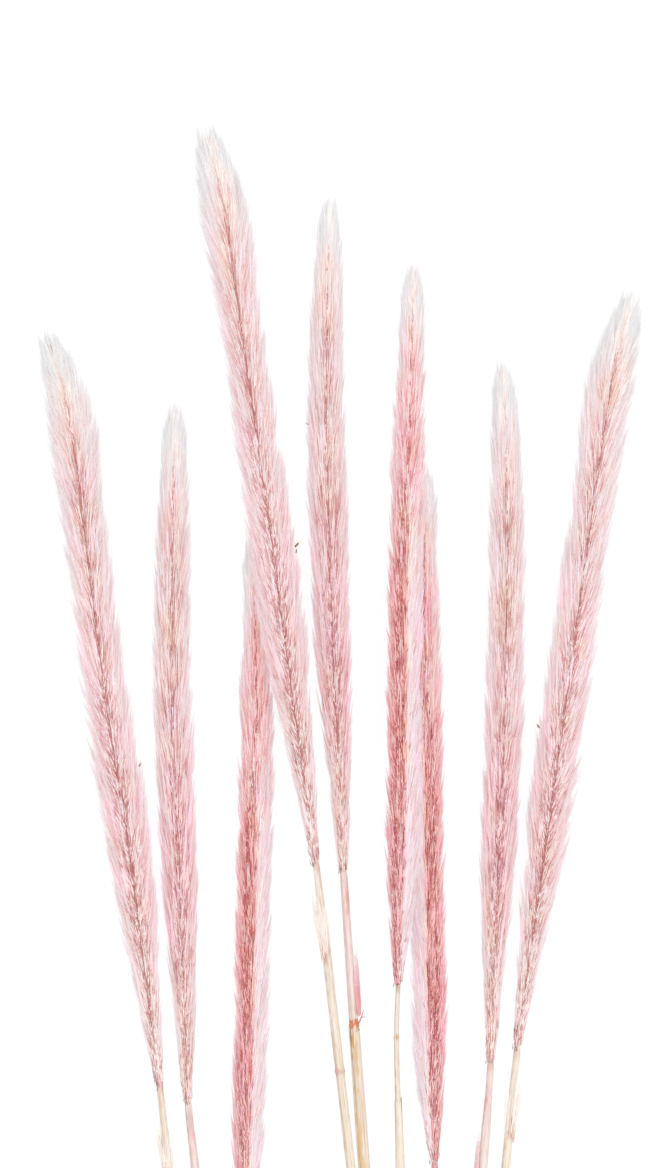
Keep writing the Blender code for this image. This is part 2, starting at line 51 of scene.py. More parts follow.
# Half width of each kind of plume, as (share of its length from the tip, millimetres).
outlines = {
    "broad": ((0, 3.4), (0.03, 6.6), (0.07, 9.6), (0.12, 12.1), (0.2, 11.0), (0.35, 10.6),
              (0.6, 11.9), (0.7, 11.0), (0.78, 9.4), (0.84, 7.0), (0.92, 4.6), (1, 2.6)),
    "slender": ((0, 2.4), (0.03, 5.0), (0.1, 6.8), (0.2, 8.5), (0.45, 10.0), (0.7, 8.9),
                (0.78, 7.6), (0.86, 5.3), (0.93, 4.2), (1, 2.6)),
    "dense": ((0, 2.4), (0.03, 5.0), (0.12, 6.2), (0.2, 8.2), (0.28, 9.0), (0.8, 8.9),
              (0.88, 7.2), (0.94, 5.2), (1, 2.5)),
}

# Each grass: its kind, its plume's foot, the slope below its line, its slot in the tie, its cut
# end, its joints, the side that is turned away (-1 mirrors the kind) and its line as
# (distance from the tie, sideways, above the floor).
grasses = {
    1: {"kind": "broad", "foot": 419, "slope": 0.109, "slot": (-1.5, 1), "end": -92,
        "joints": (255,), "mirror": 1,
        "line": ((799, -152.5, 5.2), (763, -141.5, 7.6), (688, -131, 8.4), (616, -122, 8.4),
                 (544, -111, 8.4), (472, -101.5, 7.6), (419, -95, 6.3), (380, -90.8, 6))},
    2: {"kind": "slender", "foot": 412.5, "slope": 0.108, "slot": (-1, 0), "end": -84,
        "joints": (200,), "mirror": 1,
        "line": ((762.5, -87.5, 4.0), (724, -88, 5.2), (652, -89, 5.9), (580, -87.5, 5.9),
                 (508, -84.5, 5.8), (450, -82.3, 5.7), (412.5, -81, 5.7), (380, -77.5, 6))},
    3: {"kind": "dense", "foot": 342, "slope": 0.07, "slot": (-0.5, 1), "end": -96,
        "joints": (170,), "mirror": 1,
        "line": ((694, -49, 3.6), (652, -47.5, 4.4), (604, -46.8, 5.3), (508, -48.3, 5.3),
                 (436, -49.8, 5.3), (380, -51.6, 5.5), (342, -52, 5.8), (320, -51.5, 6))},
    4: {"kind": "broad", "foot": 532.5, "slope": 0.115, "slot": (-1, 2), "end": -88,
        "joints": (429, 210), "mirror": 1,
        "line": ((901.5, -72.5, 10), (856, -62.5, 12), (784, -52, 15), (712, -41.5, 17.4),
                 (640, -32, 17.6), (580, -23.5, 16.2), (532.5, -17, 15), (380, 0.5, 14))},
    5: {"kind": "slender", "foot": 527.5, "slope": 0.078, "slot": (0, 0), "end": -90,
        "joints": (451, 265), "mirror": 1,
        "line": ((865, -10, 4.0), (832, -11, 5.2), (760, -12, 6.1), (688, -10.3, 6.1),
                 (616, -7.5, 6.1), (560, -4.5, 5.9), (527.5, -3.2, 5.9), (380, 7, 6))},
    6: {"kind": "dense", "foot": 472, "slope": 0.03, "slot": (1, 2), "end": -94,
        "joints": (445.5, 240), "mirror": 1,
        "line": ((831.5, 31.5, 11.5), (784, 30.5, 16), (712, 28.5, 20.5), (640, 27.2, 22),
                 (550, 26.3, 21), (496, 24.8, 16.5), (472, 24, 15.5), (445, 23.2, 14.5),
                 (380, 25, 14))},
    7: {"kind": "dense", "foot": 382.5, "slope": -0.03, "slot": (0.5, 1), "end": -86,
        "joints": (190,), "mirror": -1,
        "line": ((729, 38.5, 3.6), (690, 37.4, 4.4), (640, 37.3, 5.3), (550, 38.2, 5.3),
                 (472, 39.6, 5.4), (424, 40.3, 5.6), (382.5, 42.3, 5.9), (368, 43, 6))},
    8: {"kind": "slender", "foot": 433, "slope": -0.074, "slot": (1, 0), "end": -95,
        "joints": (346,), "mirror": -1,
        "line": ((783, 76.5, 4.2), (748, 77.8, 5.4), (688, 78.5, 6.4), (616, 77.5, 6.4),
                 (544, 74.5, 6.4), (484, 72, 6.2), (433, 70.4, 6), (380, 66.5, 6))},
    9: {"kind": "broad", "foot": 439.5, "slope": -0.097, "slot": (1.5, 1), "end": -89,
        "joints": (250,), "mirror": -1,
        "line": ((819, 141.5, 5.2), (772, 130.5, 7.8), (700, 119.7, 8.6), (628, 109.8, 8.6),
                 (556, 99.7, 8.6), (484, 89.5, 7.8), (439.5, 83.7, 6.3), (380, 77.9, 6))},
}


def eased(t):
    t = np.clip(t, 0, 1)
    return t * t * (3 - 2 * t)


def fade(value, start, over):
    return eased((value - start) / over)


def tableAt(pairs, place):
    # the value at a place, from (place, value) pairs
    return np.interp(place, *zip(*pairs))


def through(line, y):
    # where the smooth curve through (y, x, z) points, which run down in y, is at y
    if y >= line[0][0]:
        return line[0][1:]
    ys, places = [point[0] for point in line], [np.array(point[1:]) for point in line]
    k = next(i for i in range(len(ys) - 1) if y >= ys[i + 1])

    def slope(i):
        before, after = max(i - 1, 0), min(i + 1, len(ys) - 1)
        return (places[after] - places[before]) / (ys[after] - ys[before])

    step = ys[k + 1] - ys[k]
    t = (y - ys[k]) / step
    return ((2 * t ** 3 - 3 * t ** 2 + 1) * places[k] + (t ** 3 - 2 * t ** 2 + t) * step * slope(k)
            + (3 * t ** 2 - 2 * t ** 3) * places[k + 1] + (t ** 3 - t ** 2) * step * slope(k + 1))


def drawnApart(y):
    # 0 in the tie and 1 where the grasses lie freely
    t = min(max(y / layout["gather"], 0), 1)
    ease, even = layout["easeTo"], layout["evenTo"]
    steepest = 2 / (1 + even - ease)
    if t < ease:
        return steepest * t * t / ease / 2
    if t < even:
        return steepest * (t - ease / 2)
    return 1 - steepest * (1 - t) ** 2 / (1 - even) / 2


def slotCentre(grass):
    side, row = grass["slot"]
    lowest = layout["twine"] + layout["gap"] + layout["stemRadius"] - layout["sunk"]
    return side * layout["slotWidth"], lowest + row * layout["slotWidth"] * math.sin(math.pi / 3)


def centreAt(grass, y):
    last = grass["line"][-1][0]
    x, z = through(grass["line"], max(y, last))
    x += grass["slope"] * max(last - y, 0)
    apart = drawnApart(y)
    slotX, slotZ = slotCentre(grass)
    slotX *= 1 + layout["flare"] * eased(-y / layout["flareLength"])
    return (x * apart + slotX * (1 - apart), y, z * apart + slotZ * (1 - apart))


def unit(vectors):
    return vectors / np.maximum(np.linalg.norm(vectors, axis=-1, keepdims=True), 1e-9)


def axisOf(grass, step=1.5):
    ys = np.arange(grass["end"] - 3, grass["line"][0][0] + 9, step)
    mid = np.array([centreAt(grass, y) for y in ys])
    along = unit(np.gradient(mid, axis=0))
    across = unit(np.cross(along, (0.0, 0.0, 1.0)))
    return {"y": ys, "mid": mid, "along": along, "across": across, "up": np.cross(across, along)}


def onAxis(axis, name, y):
    return np.stack([np.interp(y, axis["y"], axis[name][:, k]) for k in range(3)], axis=-1)


def around(axis, y, angle, radius, flatness=1.0):
    side = (np.cos(angle) * radius)[..., None]
    rise = (np.sin(angle) * radius * flatness)[..., None]
    return onAxis(axis, "mid", y) + onAxis(axis, "across", y) * side + onAxis(axis, "up", y) * rise


def outwards(axis, y, angle):
    return around(axis, y, angle, np.ones_like(angle)) - onAxis(axis, "mid", y)


def settled(points):
    # bristles near the floor lie closer together, and none goes through it
    low = layout["pressedBelow"]
    z = points[..., 2]
    points[..., 2] = np.maximum(np.where(z < low, low - (low - z) * layout["pressedTo"], z),
                                layout["lowest"])
    return points


def halfWidth(kind, share):
    return tableAt(outlines[kind], share)


def thickness(kind, share):
    return np.maximum(halfWidth(kind, share), 3.0)


def blended(first, last, t):
    return first[:, None] + (last - first)[:, None] * t


def crossed(rows, columns):
    return np.meshgrid(rows, columns, indexing="ij")


def ringGrid(along, sides):
    return crossed(along, np.linspace(0, 2 * math.pi, sides, endpoint=False))


axes = {number: axisOf(grass) for number, grass in grasses.items()}
skyward = np.array((0.0, 0.0, 1.0))
groups = {}
toneSteps = "Deep Dark Middle Light Pale"
shareSteps = "Tip Upper Middle Lower Foot"


def linear(red, green, blue, light=1.0):
    # a colour as it is seen on screen under that much light, in the values that shaders work in
    def one(level):
        level /= 255
        level = level / 12.92 if level <= 0.04045 else ((level + 0.055) / 1.055) ** 2.4
        return min(level / light, 1.0)
    return (one(red), one(green), one(blue), 1.0)


def newGroup(name, numbers, colours, gives):
    # a group whose inputs and outputs are named in strings
    tree = bpy.data.node_groups.new(name, "ShaderNodeTree")
    groups[name] = tree
    for titles, way, kind in ((numbers, "INPUT", "Float"), (colours, "INPUT", "Color"),
                              (gives, "OUTPUT", "Color" if gives == "Colour" else "Float")):
        for title in titles.split():
            tree.interface.new_socket(title, in_out=way, socket_type="NodeSocket" + kind)
    return tree, tree.nodes.new("NodeGroupInput").outputs, tree.nodes.new("NodeGroupOutput").inputs


def node(tree, kind, inputs, **settings):
    # the outputs of a new node, whose inputs are filled in order or by their names
    made = tree.nodes.new("ShaderNode" + kind)
    for name, value in settings.items():
        setattr(made, name, value)
    for key, value in inputs.items() if isinstance(inputs, dict) else enumerate(inputs):
        if isinstance(value, bpy.types.NodeSocket):
            tree.links.new(value, made.inputs[key])
        else:
            made.inputs[key].default_value = value
    return made.outputs


def math2(tree, way, a, b=0.0):
    return node(tree, "Math", (a, b), operation=way)[0]


def times(tree, a, b):
    return math2(tree, "MULTIPLY", a, b)


def plus(tree, a, b):
    return math2(tree, "ADD", a, b)


def minus(tree, a, b):
    return math2(tree, "SUBTRACT", a, b)


def ranged(tree, value, low, high, to=(0.0, 1.0), way="LINEAR"):
    return node(tree, "MapRange", (value, low, high, *to), interpolation_type=way)[0]


def mixed(tree, factor, a, b, way="MIX"):
    return node(tree, "Mix", {0: factor, 6: a, 7: b}, data_type="RGBA", blend_type=way)[2]


def useGroup(tree, name, **values):
    return node(tree, "Group", values, node_tree=groups[name])


def named(titles, values):
    return dict(zip(titles.split(), values))


def newMaterial(name, roughness):
    made = bpy.data.materials.new(name)
    made.use_nodes = True
    shader = made.node_tree.nodes["Principled BSDF"]
    shader.inputs["Roughness"].default_value = roughness
    return made, made.node_tree, shader


def mapPlace(tree):
    # the piece's own map: for bristles it says how far along the plume and how dark or pale
    whole = node(tree, "UVMap", (), uv_map="OFBake")[0]
    return node(tree, "SeparateXYZ", (whole,))[:2]


def makeToneGroup():
    tree, given, out = newGroup("bristleTone", "Tone", toneSteps, "Colour")
    steps = toneSteps.split()
    colour = given[steps[0]]
    for k in range(1, 5):
        factor = ranged(tree, given["Tone"], (k - 1) / 4, k / 4)
        colour = mixed(tree, factor, colour, given[steps[k]])
    tree.links.new(colour, out["Colour"])


def makeTakenGroup():
    # how much of the dye the bristles took, from a plume's tip to its foot
    tree, given, out = newGroup("dyeTaken", "Share " + shareSteps, "", "Taken")
    taken = given["Tip"]
    for step, low, high in (("Upper", 0.05, 0.2), ("Middle", 0.28, 0.44), ("Lower", 0.48, 0.6),
                            ("Foot", 0.72, 0.88)):
        part = ranged(tree, given["Share"], low, high, way="SMOOTHSTEP")
        before = times(tree, taken, minus(tree, 1.0, part))
        taken = plus(tree, before, times(tree, given[step], part))
    tree.links.new(taken, out["Taken"])


def makeFamilyGroup():
    # bristles took the dye differently: some rosier, some warmer, and the fringe is sheer and grey
    tree, given, out = newGroup("dyeFamily", "Family Taken", "Colour Rosy Warm Fringe", "Colour")
    partly = ranged(tree, given["Taken"], 0.0, 0.6, (0.35, 1.0))
    rosy, warm, fringe = [mixed(tree, factor, given["Colour"], given[title], "MULTIPLY")
                          for title, factor in (("Rosy", given["Taken"]), ("Warm", partly),
                                                ("Fringe", 1.0))]
    isWarm = math2(tree, "GREATER_THAN", given["Family"], 0.5)
    isFringe = math2(tree, "GREATER_THAN", given["Family"], 1.5)
    tree.links.new(mixed(tree, isFringe, mixed(tree, isWarm, rosy, warm), fringe), out["Colour"])


makeToneGroup()
makeTakenGroup()
makeFamilyGroup()

# The bristles' colours as (deep, dark, middle, light, pale), bare and as each kind took the dye.
bristleTones = {
    "bare": ((146, 94, 90), (218, 192, 182), (238, 225, 218), (241, 237, 235), (243, 244, 245)),
    "broad": ((128, 60, 62), (208, 152, 150), (240, 199, 197), (247, 220, 219), (245, 237, 240)),
    "slender": ((128, 60, 66), (203, 142, 144), (238, 191, 190), (247, 214, 213), (245, 234, 238)),
    "dense": ((122, 46, 52), (195, 104, 106), (230, 153, 154), (246, 207, 207), (247, 235, 237)),
    "husk": ((66, 42, 40), (140, 110, 94), (192, 176, 158), (222, 210, 194), (238, 232, 224)),
}
# How much of the dye each kind took at its shareSteps.
dyeTaken = {"broad": (0.05, 0.8, 0.88, 1.0, 0.66), "slender": (0.08, 0.66, 0.74, 1.0, 0.6),
            "dense": (0.2, 0.8, 1.0, 1.0, 0.78)}
# How much light reaches dark to pale bristles, and how much of it comes from other bristles.
dye = {"light": (0.97, 1.05, 1.11, 1.17, 1.21), "bounced": 0.4,
       "rosy": {"broad": (1.0, 0.945, 1.01, 1.0), "slender": (1.0, 0.94, 1.02, 1.0),
                "dense": (1.0, 0.915, 1.0, 1.0)},
       "warm": {"broad": (1.0, 1.0, 0.91, 1.0), "slender": (1.0, 1.0, 0.9, 1.0),
                "dense": (1.0, 1.0, 0.88, 1.0)},
       "fringe": (0.905, 0.915, 0.925, 1.0), "families": 3,
       # through sets the strength of the bristles' painted glow
       "roughness": 0.62, "through": 0.25, "huskFrom": 0.978, "huskAt": 0.986}


def bristleTone(colour, light):
    # the colour that a bristle needs to be seen so among others of its colour
    seen = linear(*colour)[:3]
    return tuple(min(s / (light + dye["bounced"] * (s - 1)), 1.0) for s in seen) + (1.0,)


def bristleMaterial(kind):
    made, tree, shader = newMaterial("dyedGlowingBristle_" + kind, dye["roughness"])
    u, tone = mapPlace(tree)
    spread = times(tree, u, float(dye["families"]))
    family, share = math2(tree, "FLOOR", spread), math2(tree, "FRACT", spread)
    colours = [[bristleTone(*item) for item in zip(bristleTones[look], dye["light"])]
               for look in ("bare", kind)] + [[linear(*seen) for seen in bristleTones["husk"]]]
    bare, dyed, husk = [useGroup(tree, "bristleTone", Tone=tone, **named(toneSteps, five))["Colour"]
                        for five in colours]
    taken = useGroup(tree, "dyeTaken", Share=share, **named(shareSteps, dyeTaken[kind]))["Taken"]
    colour = useGroup(tree, "dyeFamily", Colour=mixed(tree, taken, bare, dyed), Family=family,
                      Taken=taken, Rosy=dye["rosy"][kind], Warm=dye["warm"][kind],
                      Fringe=dye["fringe"])["Colour"]
    colour = mixed(tree, math2(tree, "GREATER_THAN", share, dye["huskFrom"]), colour, husk)
    tree.links.new(colour, shader.inputs["Base Color"])
    # a painted glow: each bristle emits its own colour, standing in for light that goes through the
    # fine bristles and keeping the shadows among them rosy
    tree.links.new(colour, shader.inputs["Emission Color"])
    shader.inputs["Emission Strength"].default_value = dye["through"]
    return made


bristleMaterials = {kind: bristleMaterial(kind) for kind in outlines}
print("bristle materials made")


def paletteSpot(share, tone, family):
    # where a bristle's colour lies on its map
    families = dye["families"]
    u = (family + 0.03 + 0.94 * np.clip(share, 0, 1)) / families
    return np.stack(np.broadcast_arrays(u, np.clip(tone, 0.01, 0.99)), axis=-1)


def ribbons(points, widths, facing, spots, spread=0.0016):
    # thin flat bristles that taper to a point
    count, rows, _ = points.shape
    side = unit(np.cross(np.gradient(points, axis=1), facing))
    half = side[:, :-1] * widths[..., None] / 2
    across = np.gradient(spots, axis=1)
    across = unit(np.stack((-across[..., 1], across[..., 0]), axis=-1))[:, :-1] * spread / 2
    size = 2 * rows - 1
    corners = np.empty((count, size, 3))
    corners[:, 0:-1:2], corners[:, 1:-1:2] = points[:, :-1] - half, points[:, :-1] + half
    corners[:, -1] = points[:, -1]
    uv = np.empty((count, size, 2))
    uv[:, 0:-1:2], uv[:, 1:-1:2] = spots[:, :-1] - across, spots[:, :-1] + across
    uv[:, -1] = spots[:, -1]
    shape = []
    for k in range(rows - 2):
        shape += [(2 * k, 2 * k + 1, 2 * k + 3), (2 * k, 2 * k + 3, 2 * k + 2)]
    shape.append((2 * rows - 4, 2 * rows - 3, 2 * rows - 2))
    faces = np.array(shape)[None] + (np.arange(count) * size)[:, None, None]
    return corners.reshape(-1, 3), faces.reshape(-1, 3), uv.reshape(-1, 2)


def gridFaces(rows, sides, spans):
    # two triangles for each field of a grid of points, and each field's row and column
    i, j = np.divmod(np.arange((rows - 1) * spans), spans)
    a, b = i * sides + j, i * sides + (j + 1) % sides
    halves = np.stack((a, b, b + sides), -1), np.stack((a, b + sides, a + sides), -1)
    return np.concatenate(halves), i, j


def tube(rings, spots):
    # a capped skin through rings of points, with the map place of each point
    count, sides, _ = rings.shape
    faces = gridFaces(count, sides, sides)[0]
    points, uv = rings.reshape(-1, 3), spots.reshape(-1, 2)
    for ring, turn in ((0, -1), (count - 1, 1)):
        row = (ring * sides + np.arange(sides))[::turn]
        fan = np.stack((np.full(sides, len(points)), row, np.roll(row, -1)), -1)
        faces = np.vstack((faces, fan))
        points = np.vstack((points, rings[ring].mean(axis=0)))
        uv = np.vstack((uv, spots[ring].mean(axis=0)))
    return points, faces, uv


def skin(grid, low=0.0, high=1.0, left=0.0, right=1.0, closed=True):
    # a skin through rows of points, unrolled on the map: round it is u, along it is v
    rows, sides, _ = grid.shape
    spans = sides if closed else sides - 1
    faces, i, j = gridFaces(rows, sides, spans)
    u = left + (right - left) * np.arange(spans + 1) / spans
    v = low + (high - low) * np.arange(rows) / (rows - 1)
    corners = [np.stack(pair, -1) for pair in ((u[j], v[i]), (u[j + 1], v[i]),
                                               (u[j + 1], v[i + 1]), (u[j], v[i + 1]))]
    loops = np.concatenate([np.stack([corners[k] for k in three], 1)
                            for three in ((0, 1, 2), (0, 2, 3))])
    return grid.reshape(-1, 3), faces, loops


def together(parts):
    # skins and bristles as one, with the map place of each corner of each face
    points, faces, loops, start = [], [], [], 0
    for some, over, spots in parts:
        points.append(some)
        faces.append(over + start)
        loops.append(spots if spots.ndim == 3 else spots[over])
        start += len(some)
    return np.vstack(points), np.vstack(faces), np.vstack(loops)


def newObject(name, data):
    made = bpy.data.objects.new(name, data)
    bpy.context.scene.collection.objects.link(made)
    return made


def meshPiece(name, looks, nodes):
    # one object in the CAD's frame and in metres; looks pairs each material with its parts
    points, faces, loops = together([part for _, some in looks for part in some])
    points = (points + np.array((*layout["tieAt"], 0.0))) * layout["metres"]
    mesh = bpy.data.meshes.new(name)
    mesh.from_pydata(points, [], faces)
    layer = mesh.uv_layers.new(name="OFBake")
    layer.data.foreach_set("uv", loops.astype(np.float32).ravel())
    which = [np.full(len(part[1]), k) for k, (_, some) in enumerate(looks) for part in some]
    for material, _ in looks:
        mesh.materials.append(material)
    mesh.polygons.foreach_set("material_index", np.concatenate(which))
    mesh.shade_smooth()
    mesh.update()
    piece = newObject(name, mesh)
    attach(piece, "root")
    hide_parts(*nodes)
    return piece


# What each kind of plume is made of, for the kinds in the outlines' order. Shares are of the
# plume's length from its tip, reaches are parts of its half width, lengths are in millimetres.
plumeTable = {
    "tufts": (600, 600, 640), "length": ((17, 29), (26, 42), (20, 32)), "sweep": (0.88, 0.5, 0.4),
    "parting": (0.88, 0.15, 0.0), "partingTo": (0.7, 0.3, 0.3),
    "reach": ((0.56, 0.88), (0.56, 0.88), (0.62, 0.94)),
    "tone": ((0.22, 0.68), (0.20, 0.66), (0.12, 0.60)), "toneUneven": (0.11, 0.14, 0.14),
    "hairUneven": (0.34, 0.38, 0.38), "paleSide": (0.0, 0.0, 0.8), "wisps": (820, 780, 660),
    "wispReach": ((0.88, 1.16), (0.86, 1.15), (0.88, 1.13)), "wispPaler": (0.0, 0.0, 0.18),
    "wispLength": ((15, 27), (16, 30), (13, 24)), "wispTone": (0.93, 0.92, 0.78),
    "ribs": (500, 600, 800), "ribLength": ((4, 10), (7, 17), (6, 14)),
    "ribSpread": (0.55, 0.7, 0.8), "ribTone": (0.10, 0.08, 0.06),
    "streaks": (2200, 3000, 2600), "streakLength": ((5, 12), (6, 16), (6, 14)),
    "flecks": (1500, 900, 900), "fleckFrom": (0.42, 0.5, 0.3), "bleached": (0.80, 0.76, 0.60),
    "line": (300, 130, 150), "softTo": (0.22, 0.22, 0.5),
    "edge": (((0, 0.24), (0.3, 0.26), (0.42, 0.36), (0.75, 0.36), (0.86, 0.26), (1, 0.2)),
             ((0, 0.26), (0.35, 0.28), (0.48, 0.12), (0.6, 0.02), (0.78, -0.06), (0.86, 0.12),
              (1, 0.24)),
             ((0, 0.2), (0.12, 0.26), (0.25, 0.3), (0.35, 0.44), (0.5, 0.66), (0.75, 0.74),
              (0.88, 0.7), (1, 0.36))),
    "centre": (((0, -0.18), (0.1, -0.02), (0.4, 0.04), (0.7, 0.1), (0.85, 0.2), (1, 0.04)),
               ((0, -0.14), (0.1, -0.06), (0.3, 0), (0.45, -0.05), (0.65, -0.05), (0.8, 0.02),
                (1, -0.05)),
               ((0, 0), (0.1, 0.22), (0.3, 0.25), (0.42, -0.07), (0.75, -0.07), (0.86, -0.02),
                (1, 0))),
    "warmth": (((0, 0.6), (0.1, 0.6), (0.3, 0.5), (0.5, 0.3), (0.62, 0.35), (0.75, 0.7), (1, 1)),
               ((0, 0.4), (0.2, 0.5), (0.34, 0.8), (0.44, 0.35), (0.65, 0.25), (0.75, 0.6),
                (0.85, 1), (1, 1)),
               ((0, 0.6), (0.15, 0.3), (0.28, 0.35), (0.4, 0.9), (0.65, 1), (0.78, 0.45),
                (1, 0.2))),
}
plumeLooks = {kind: {name: row[k] for name, row in plumeTable.items()}
              for k, kind in enumerate(outlines)}
# What the kinds share. Tones run from 0, deep, to 1, pale; widths are in millimetres; a pair such
# as "under" says where a change starts and over how much it goes on.
tuftLook = {"hairs": 14, "inner": 0.2, "innerReach": (0.45, 0.75), "innerDarker": 0.12,
            "partingWide": 0.34, "partingFades": 0.3, "fewerUnder": 0.45, "under": (1.7, 0.6),
            "sweptTo": (1.75, 0.9), "tipReach": 0.16, "edgeCooler": 0.45, "changed": 0.25,
            "greyAway": 0.6, "lower": (0.6, 0.2), "lowerUneven": 0.3, "width": (0.2, 0.4),
            "rootsApart": 1.5, "endsApart": 0.5, "bow": (-0.16, 0.8), "steps": (0, 0.36, 0.7, 1)}
wispLook = {"hairs": 12, "shares": (-0.008, 0.96), "onTop": 0.12, "tipReach": 1.05,
            "uneven": 0.07, "darker": 0.08, "paler": 0.4, "palerTo": 0.45, "start": (0.50, 0.74),
            "rootsApart": 1.3, "endsApart": 0.22, "tone": (-0.3, 0.06), "width": (0.18, 0.30)}
ribLook = {"shares": (0.02, 0.96), "uneven": 0.9, "start": (0.68, 0.84), "rise": (0.02, 0.12),
           "toneUneven": 0.08, "softer": 0.2, "paler": 0.22, "width": (0.2, 0.34)}
streakLook = {"to": 0.965, "away": 0.62, "dark": 0.4, "darkerLow": 0.12, "low": (0.55, 0.25),
              "darkTone": -0.04, "start": (0.70, 0.86), "rise": (0.04, 0.12), "toneUneven": 0.07,
              "softer": 0.38, "sidePaler": 0.1, "paler": 0.10, "fewerAway": 1.6,
              "palerAway": 0.5, "followed": 0.4}
fleckLook = {"to": 0.985, "away": 2.8, "dark": 0.4, "darkTone": (0.0, 0.1), "reach": (0.8, 0.95),
             "lean": (0.02, 0.16), "length": (1.6, 5.0), "paler": 0.03, "aside": 0.5,
             "paleUneven": (-0.02, 0.15), "rise": 1.02}
bareTip = {"to": 0.34, "paler": 0.26, "fringeMore": 1.6, "fringeWithin": 0.09, "tufts": 110,
           "within": 0.06, "over": 0.012, "wider": 0.22, "widerWithin": 0.08, "bleached": 0.8,
           "bleachedTo": (0.3, 0.15)}
# The pale side of the dense kind: where it starts and over how much, how crisp and how wide it
# is, how much dye its bristles miss and how far the middle line keeps from the top.
paleSide = {"from": 0.24, "over": 0.2, "crisp": 2.2, "wider": 0.1, "undyed": 0.65, "aside": 0.6}
middleLine = {"zigzag": 0.42, "turns": 6.5, "uneven": 0.12, "length": (1.6, 4.5),
              "width": (0.3, 0.54), "tone": (0.0, 0.05), "from": 0.04, "to": 0.93,
              "reach": (0.9, 0.98), "softer": 0.25, "softTo": 0.14, "paler": 0.05}
# The fringe is grey and sheer near the tip, and rosier further down.
fringeLook = {"grey": 0.9, "less": 0.22, "from": 0.05, "over": 0.24}
# Dark short hairs where a plume ends on its culm.
footLook = {"from": 0.955, "to": 1.004, "count": 15, "length": (2, 5.5), "tone": (0.0, 0.3),
            "slimFrom": 0.86, "slimmer": 0.32, "below": 1.5, "side": 0.9, "spread": 0.75,
            "reach": (0.8, 1.02), "rise": (1, 1.12), "paler": 0.05, "width": (0.26, 0.46)}
# Warm bristles come in large and small patches, which run along the plume and turn round it.
patches = {"strength": 0.55, "large": 0.55, "run": 31, "turn": 1.7, "twist": 11, "apart": 2.1,
           "small": 0.4, "smallRun": 74, "bend": 2.5}
# How far a tuft's bristles scatter along the plume, and how each one narrows to its point.
scatter = 1.6 / 370
taper = ((0, 0.8), (0.4, 1.0), (1, 0.45))


def plumeOf(number):
    grass = grasses[number]
    return grass, grass["kind"], plumeLooks[grass["kind"]]


def happens(draw, count, chance):
    return draw.uniform(0, 1, count) < chance


def warmAt(number, look, share, angle):
    # the chance that a bristle is one of the warm ones
    large = (np.sin(patches["run"] * share + patches["apart"] * number)
             * np.cos(patches["turn"] * angle + patches["twist"] * share + number))
    small = np.sin(patches["smallRun"] * share + patches["bend"] * np.cos(angle) + number)
    patch = patches["large"] * large + patches["small"] * small
    return np.clip(tableAt(look["warmth"], share) + patches["strength"] * patch, 0.02, 0.98)


def huskSpot(tone):
    # the husks' own strip of the map
    return np.stack(np.broadcast_arrays((1 + dye["huskAt"]) / dye["families"], tone), axis=-1)


def pickShares(draw, kind, count, low=0.012, high=0.975, atTip=0.0):
    # more bristles end where the plume is thicker, and at the tip if asked
    grid = np.linspace(low, high, 400)
    nearTip = np.exp(-np.maximum(grid, 0) / bareTip["fringeWithin"])
    weight = np.cumsum((halfWidth(kind, grid) + 2.0) * (1 + atTip * nearTip))
    return np.interp(draw.uniform(0, weight[-1], count), weight, grid)


def pickAngles(draw, count, keep):
    # directions round the plume, thinned as keep says
    angles = draw.uniform(0, 2 * math.pi, count * 4).reshape(4, count)
    chosen = angles[0]
    kept = happens(draw, count, keep(chosen))
    for other in angles[1:]:
        chosen = np.where(kept, chosen, other)
        kept = kept | happens(draw, count, keep(chosen))
    return chosen


def fromTop(angle):
    # turn from straight up, -pi to pi
    return (angle - math.pi / 2 + math.pi) % (2 * math.pi) - math.pi


def strands(number, draw, share, angle, startAngle, length, start, reach, tones, family,
            width=(0.2, 0.36), roll=0.4, steps=(0, 0.5, 1), bow=None, lean=1.0, below=None):
    # bristles that end at a share of the plume's length, from inside it out towards its outline
    grass, kind, _ = plumeOf(number)
    axis, top, count = axes[number], grass["line"][0][0], len(share)
    long = top - grass["foot"]
    width = draw.uniform(*width, count)[:, None]
    bow = draw.uniform(*bow, count)[:, None] if bow else 0.0
    roll = draw.normal(0, roll, count)[:, None]
    below = draw.uniform(0, below, count) if below else 0.0
    y1 = top - share * long
    y0 = np.maximum(y1 - length, grass["foot"] + 0.02 * length - below)
    y1 = np.maximum(y1, y0 + 1.0)
    t = np.array(steps)[None]
    y, turned, tone = blended(y0, y1, t), blended(startAngle, angle, t ** 0.8), blended(*tones, t)
    r0, r1 = (halfWidth(kind, (top - y) / long) for y in (y0, y1))
    radius = blended(r0 * start, r1 * reach, t ** lean) + bow * np.sin(math.pi * t)
    points = settled(around(axis, y, turned, radius, layout["flatness"]))
    facing = outwards(axis, y, turned + roll)
    widths = width * tableAt(taper, t[:, :-1])
    spots = (huskSpot(tone) if family is None
             else paletteSpot((top - y) / long, tone, family[:, None]))
    return ribbons(points, widths, facing, spots)


def undyed(look, share):
    # the dense kind is pale on one side, from some way below its tip
    return look["paleSide"] * fade(share, paleSide["from"], paleSide["over"])


def paler(grass, look, share, angle):
    side = np.cos(angle) * grass["mirror"] * paleSide["crisp"]
    return undyed(look, share) * eased(side + paleSide["wider"])


def aside(grass, look, share, part=paleSide["aside"]):
    # the middle line runs beside the top where one side is pale
    return undyed(look, share) * part * grass["mirror"]


def slimmed(share):
    # plumes are slimmer towards their feet
    return 1 - footLook["slimmer"] * fade(share, footLook["slimFrom"], 1 - footLook["slimFrom"])


def dyedAway(turnedAway):
    return 1 - paleSide["undyed"] * turnedAway


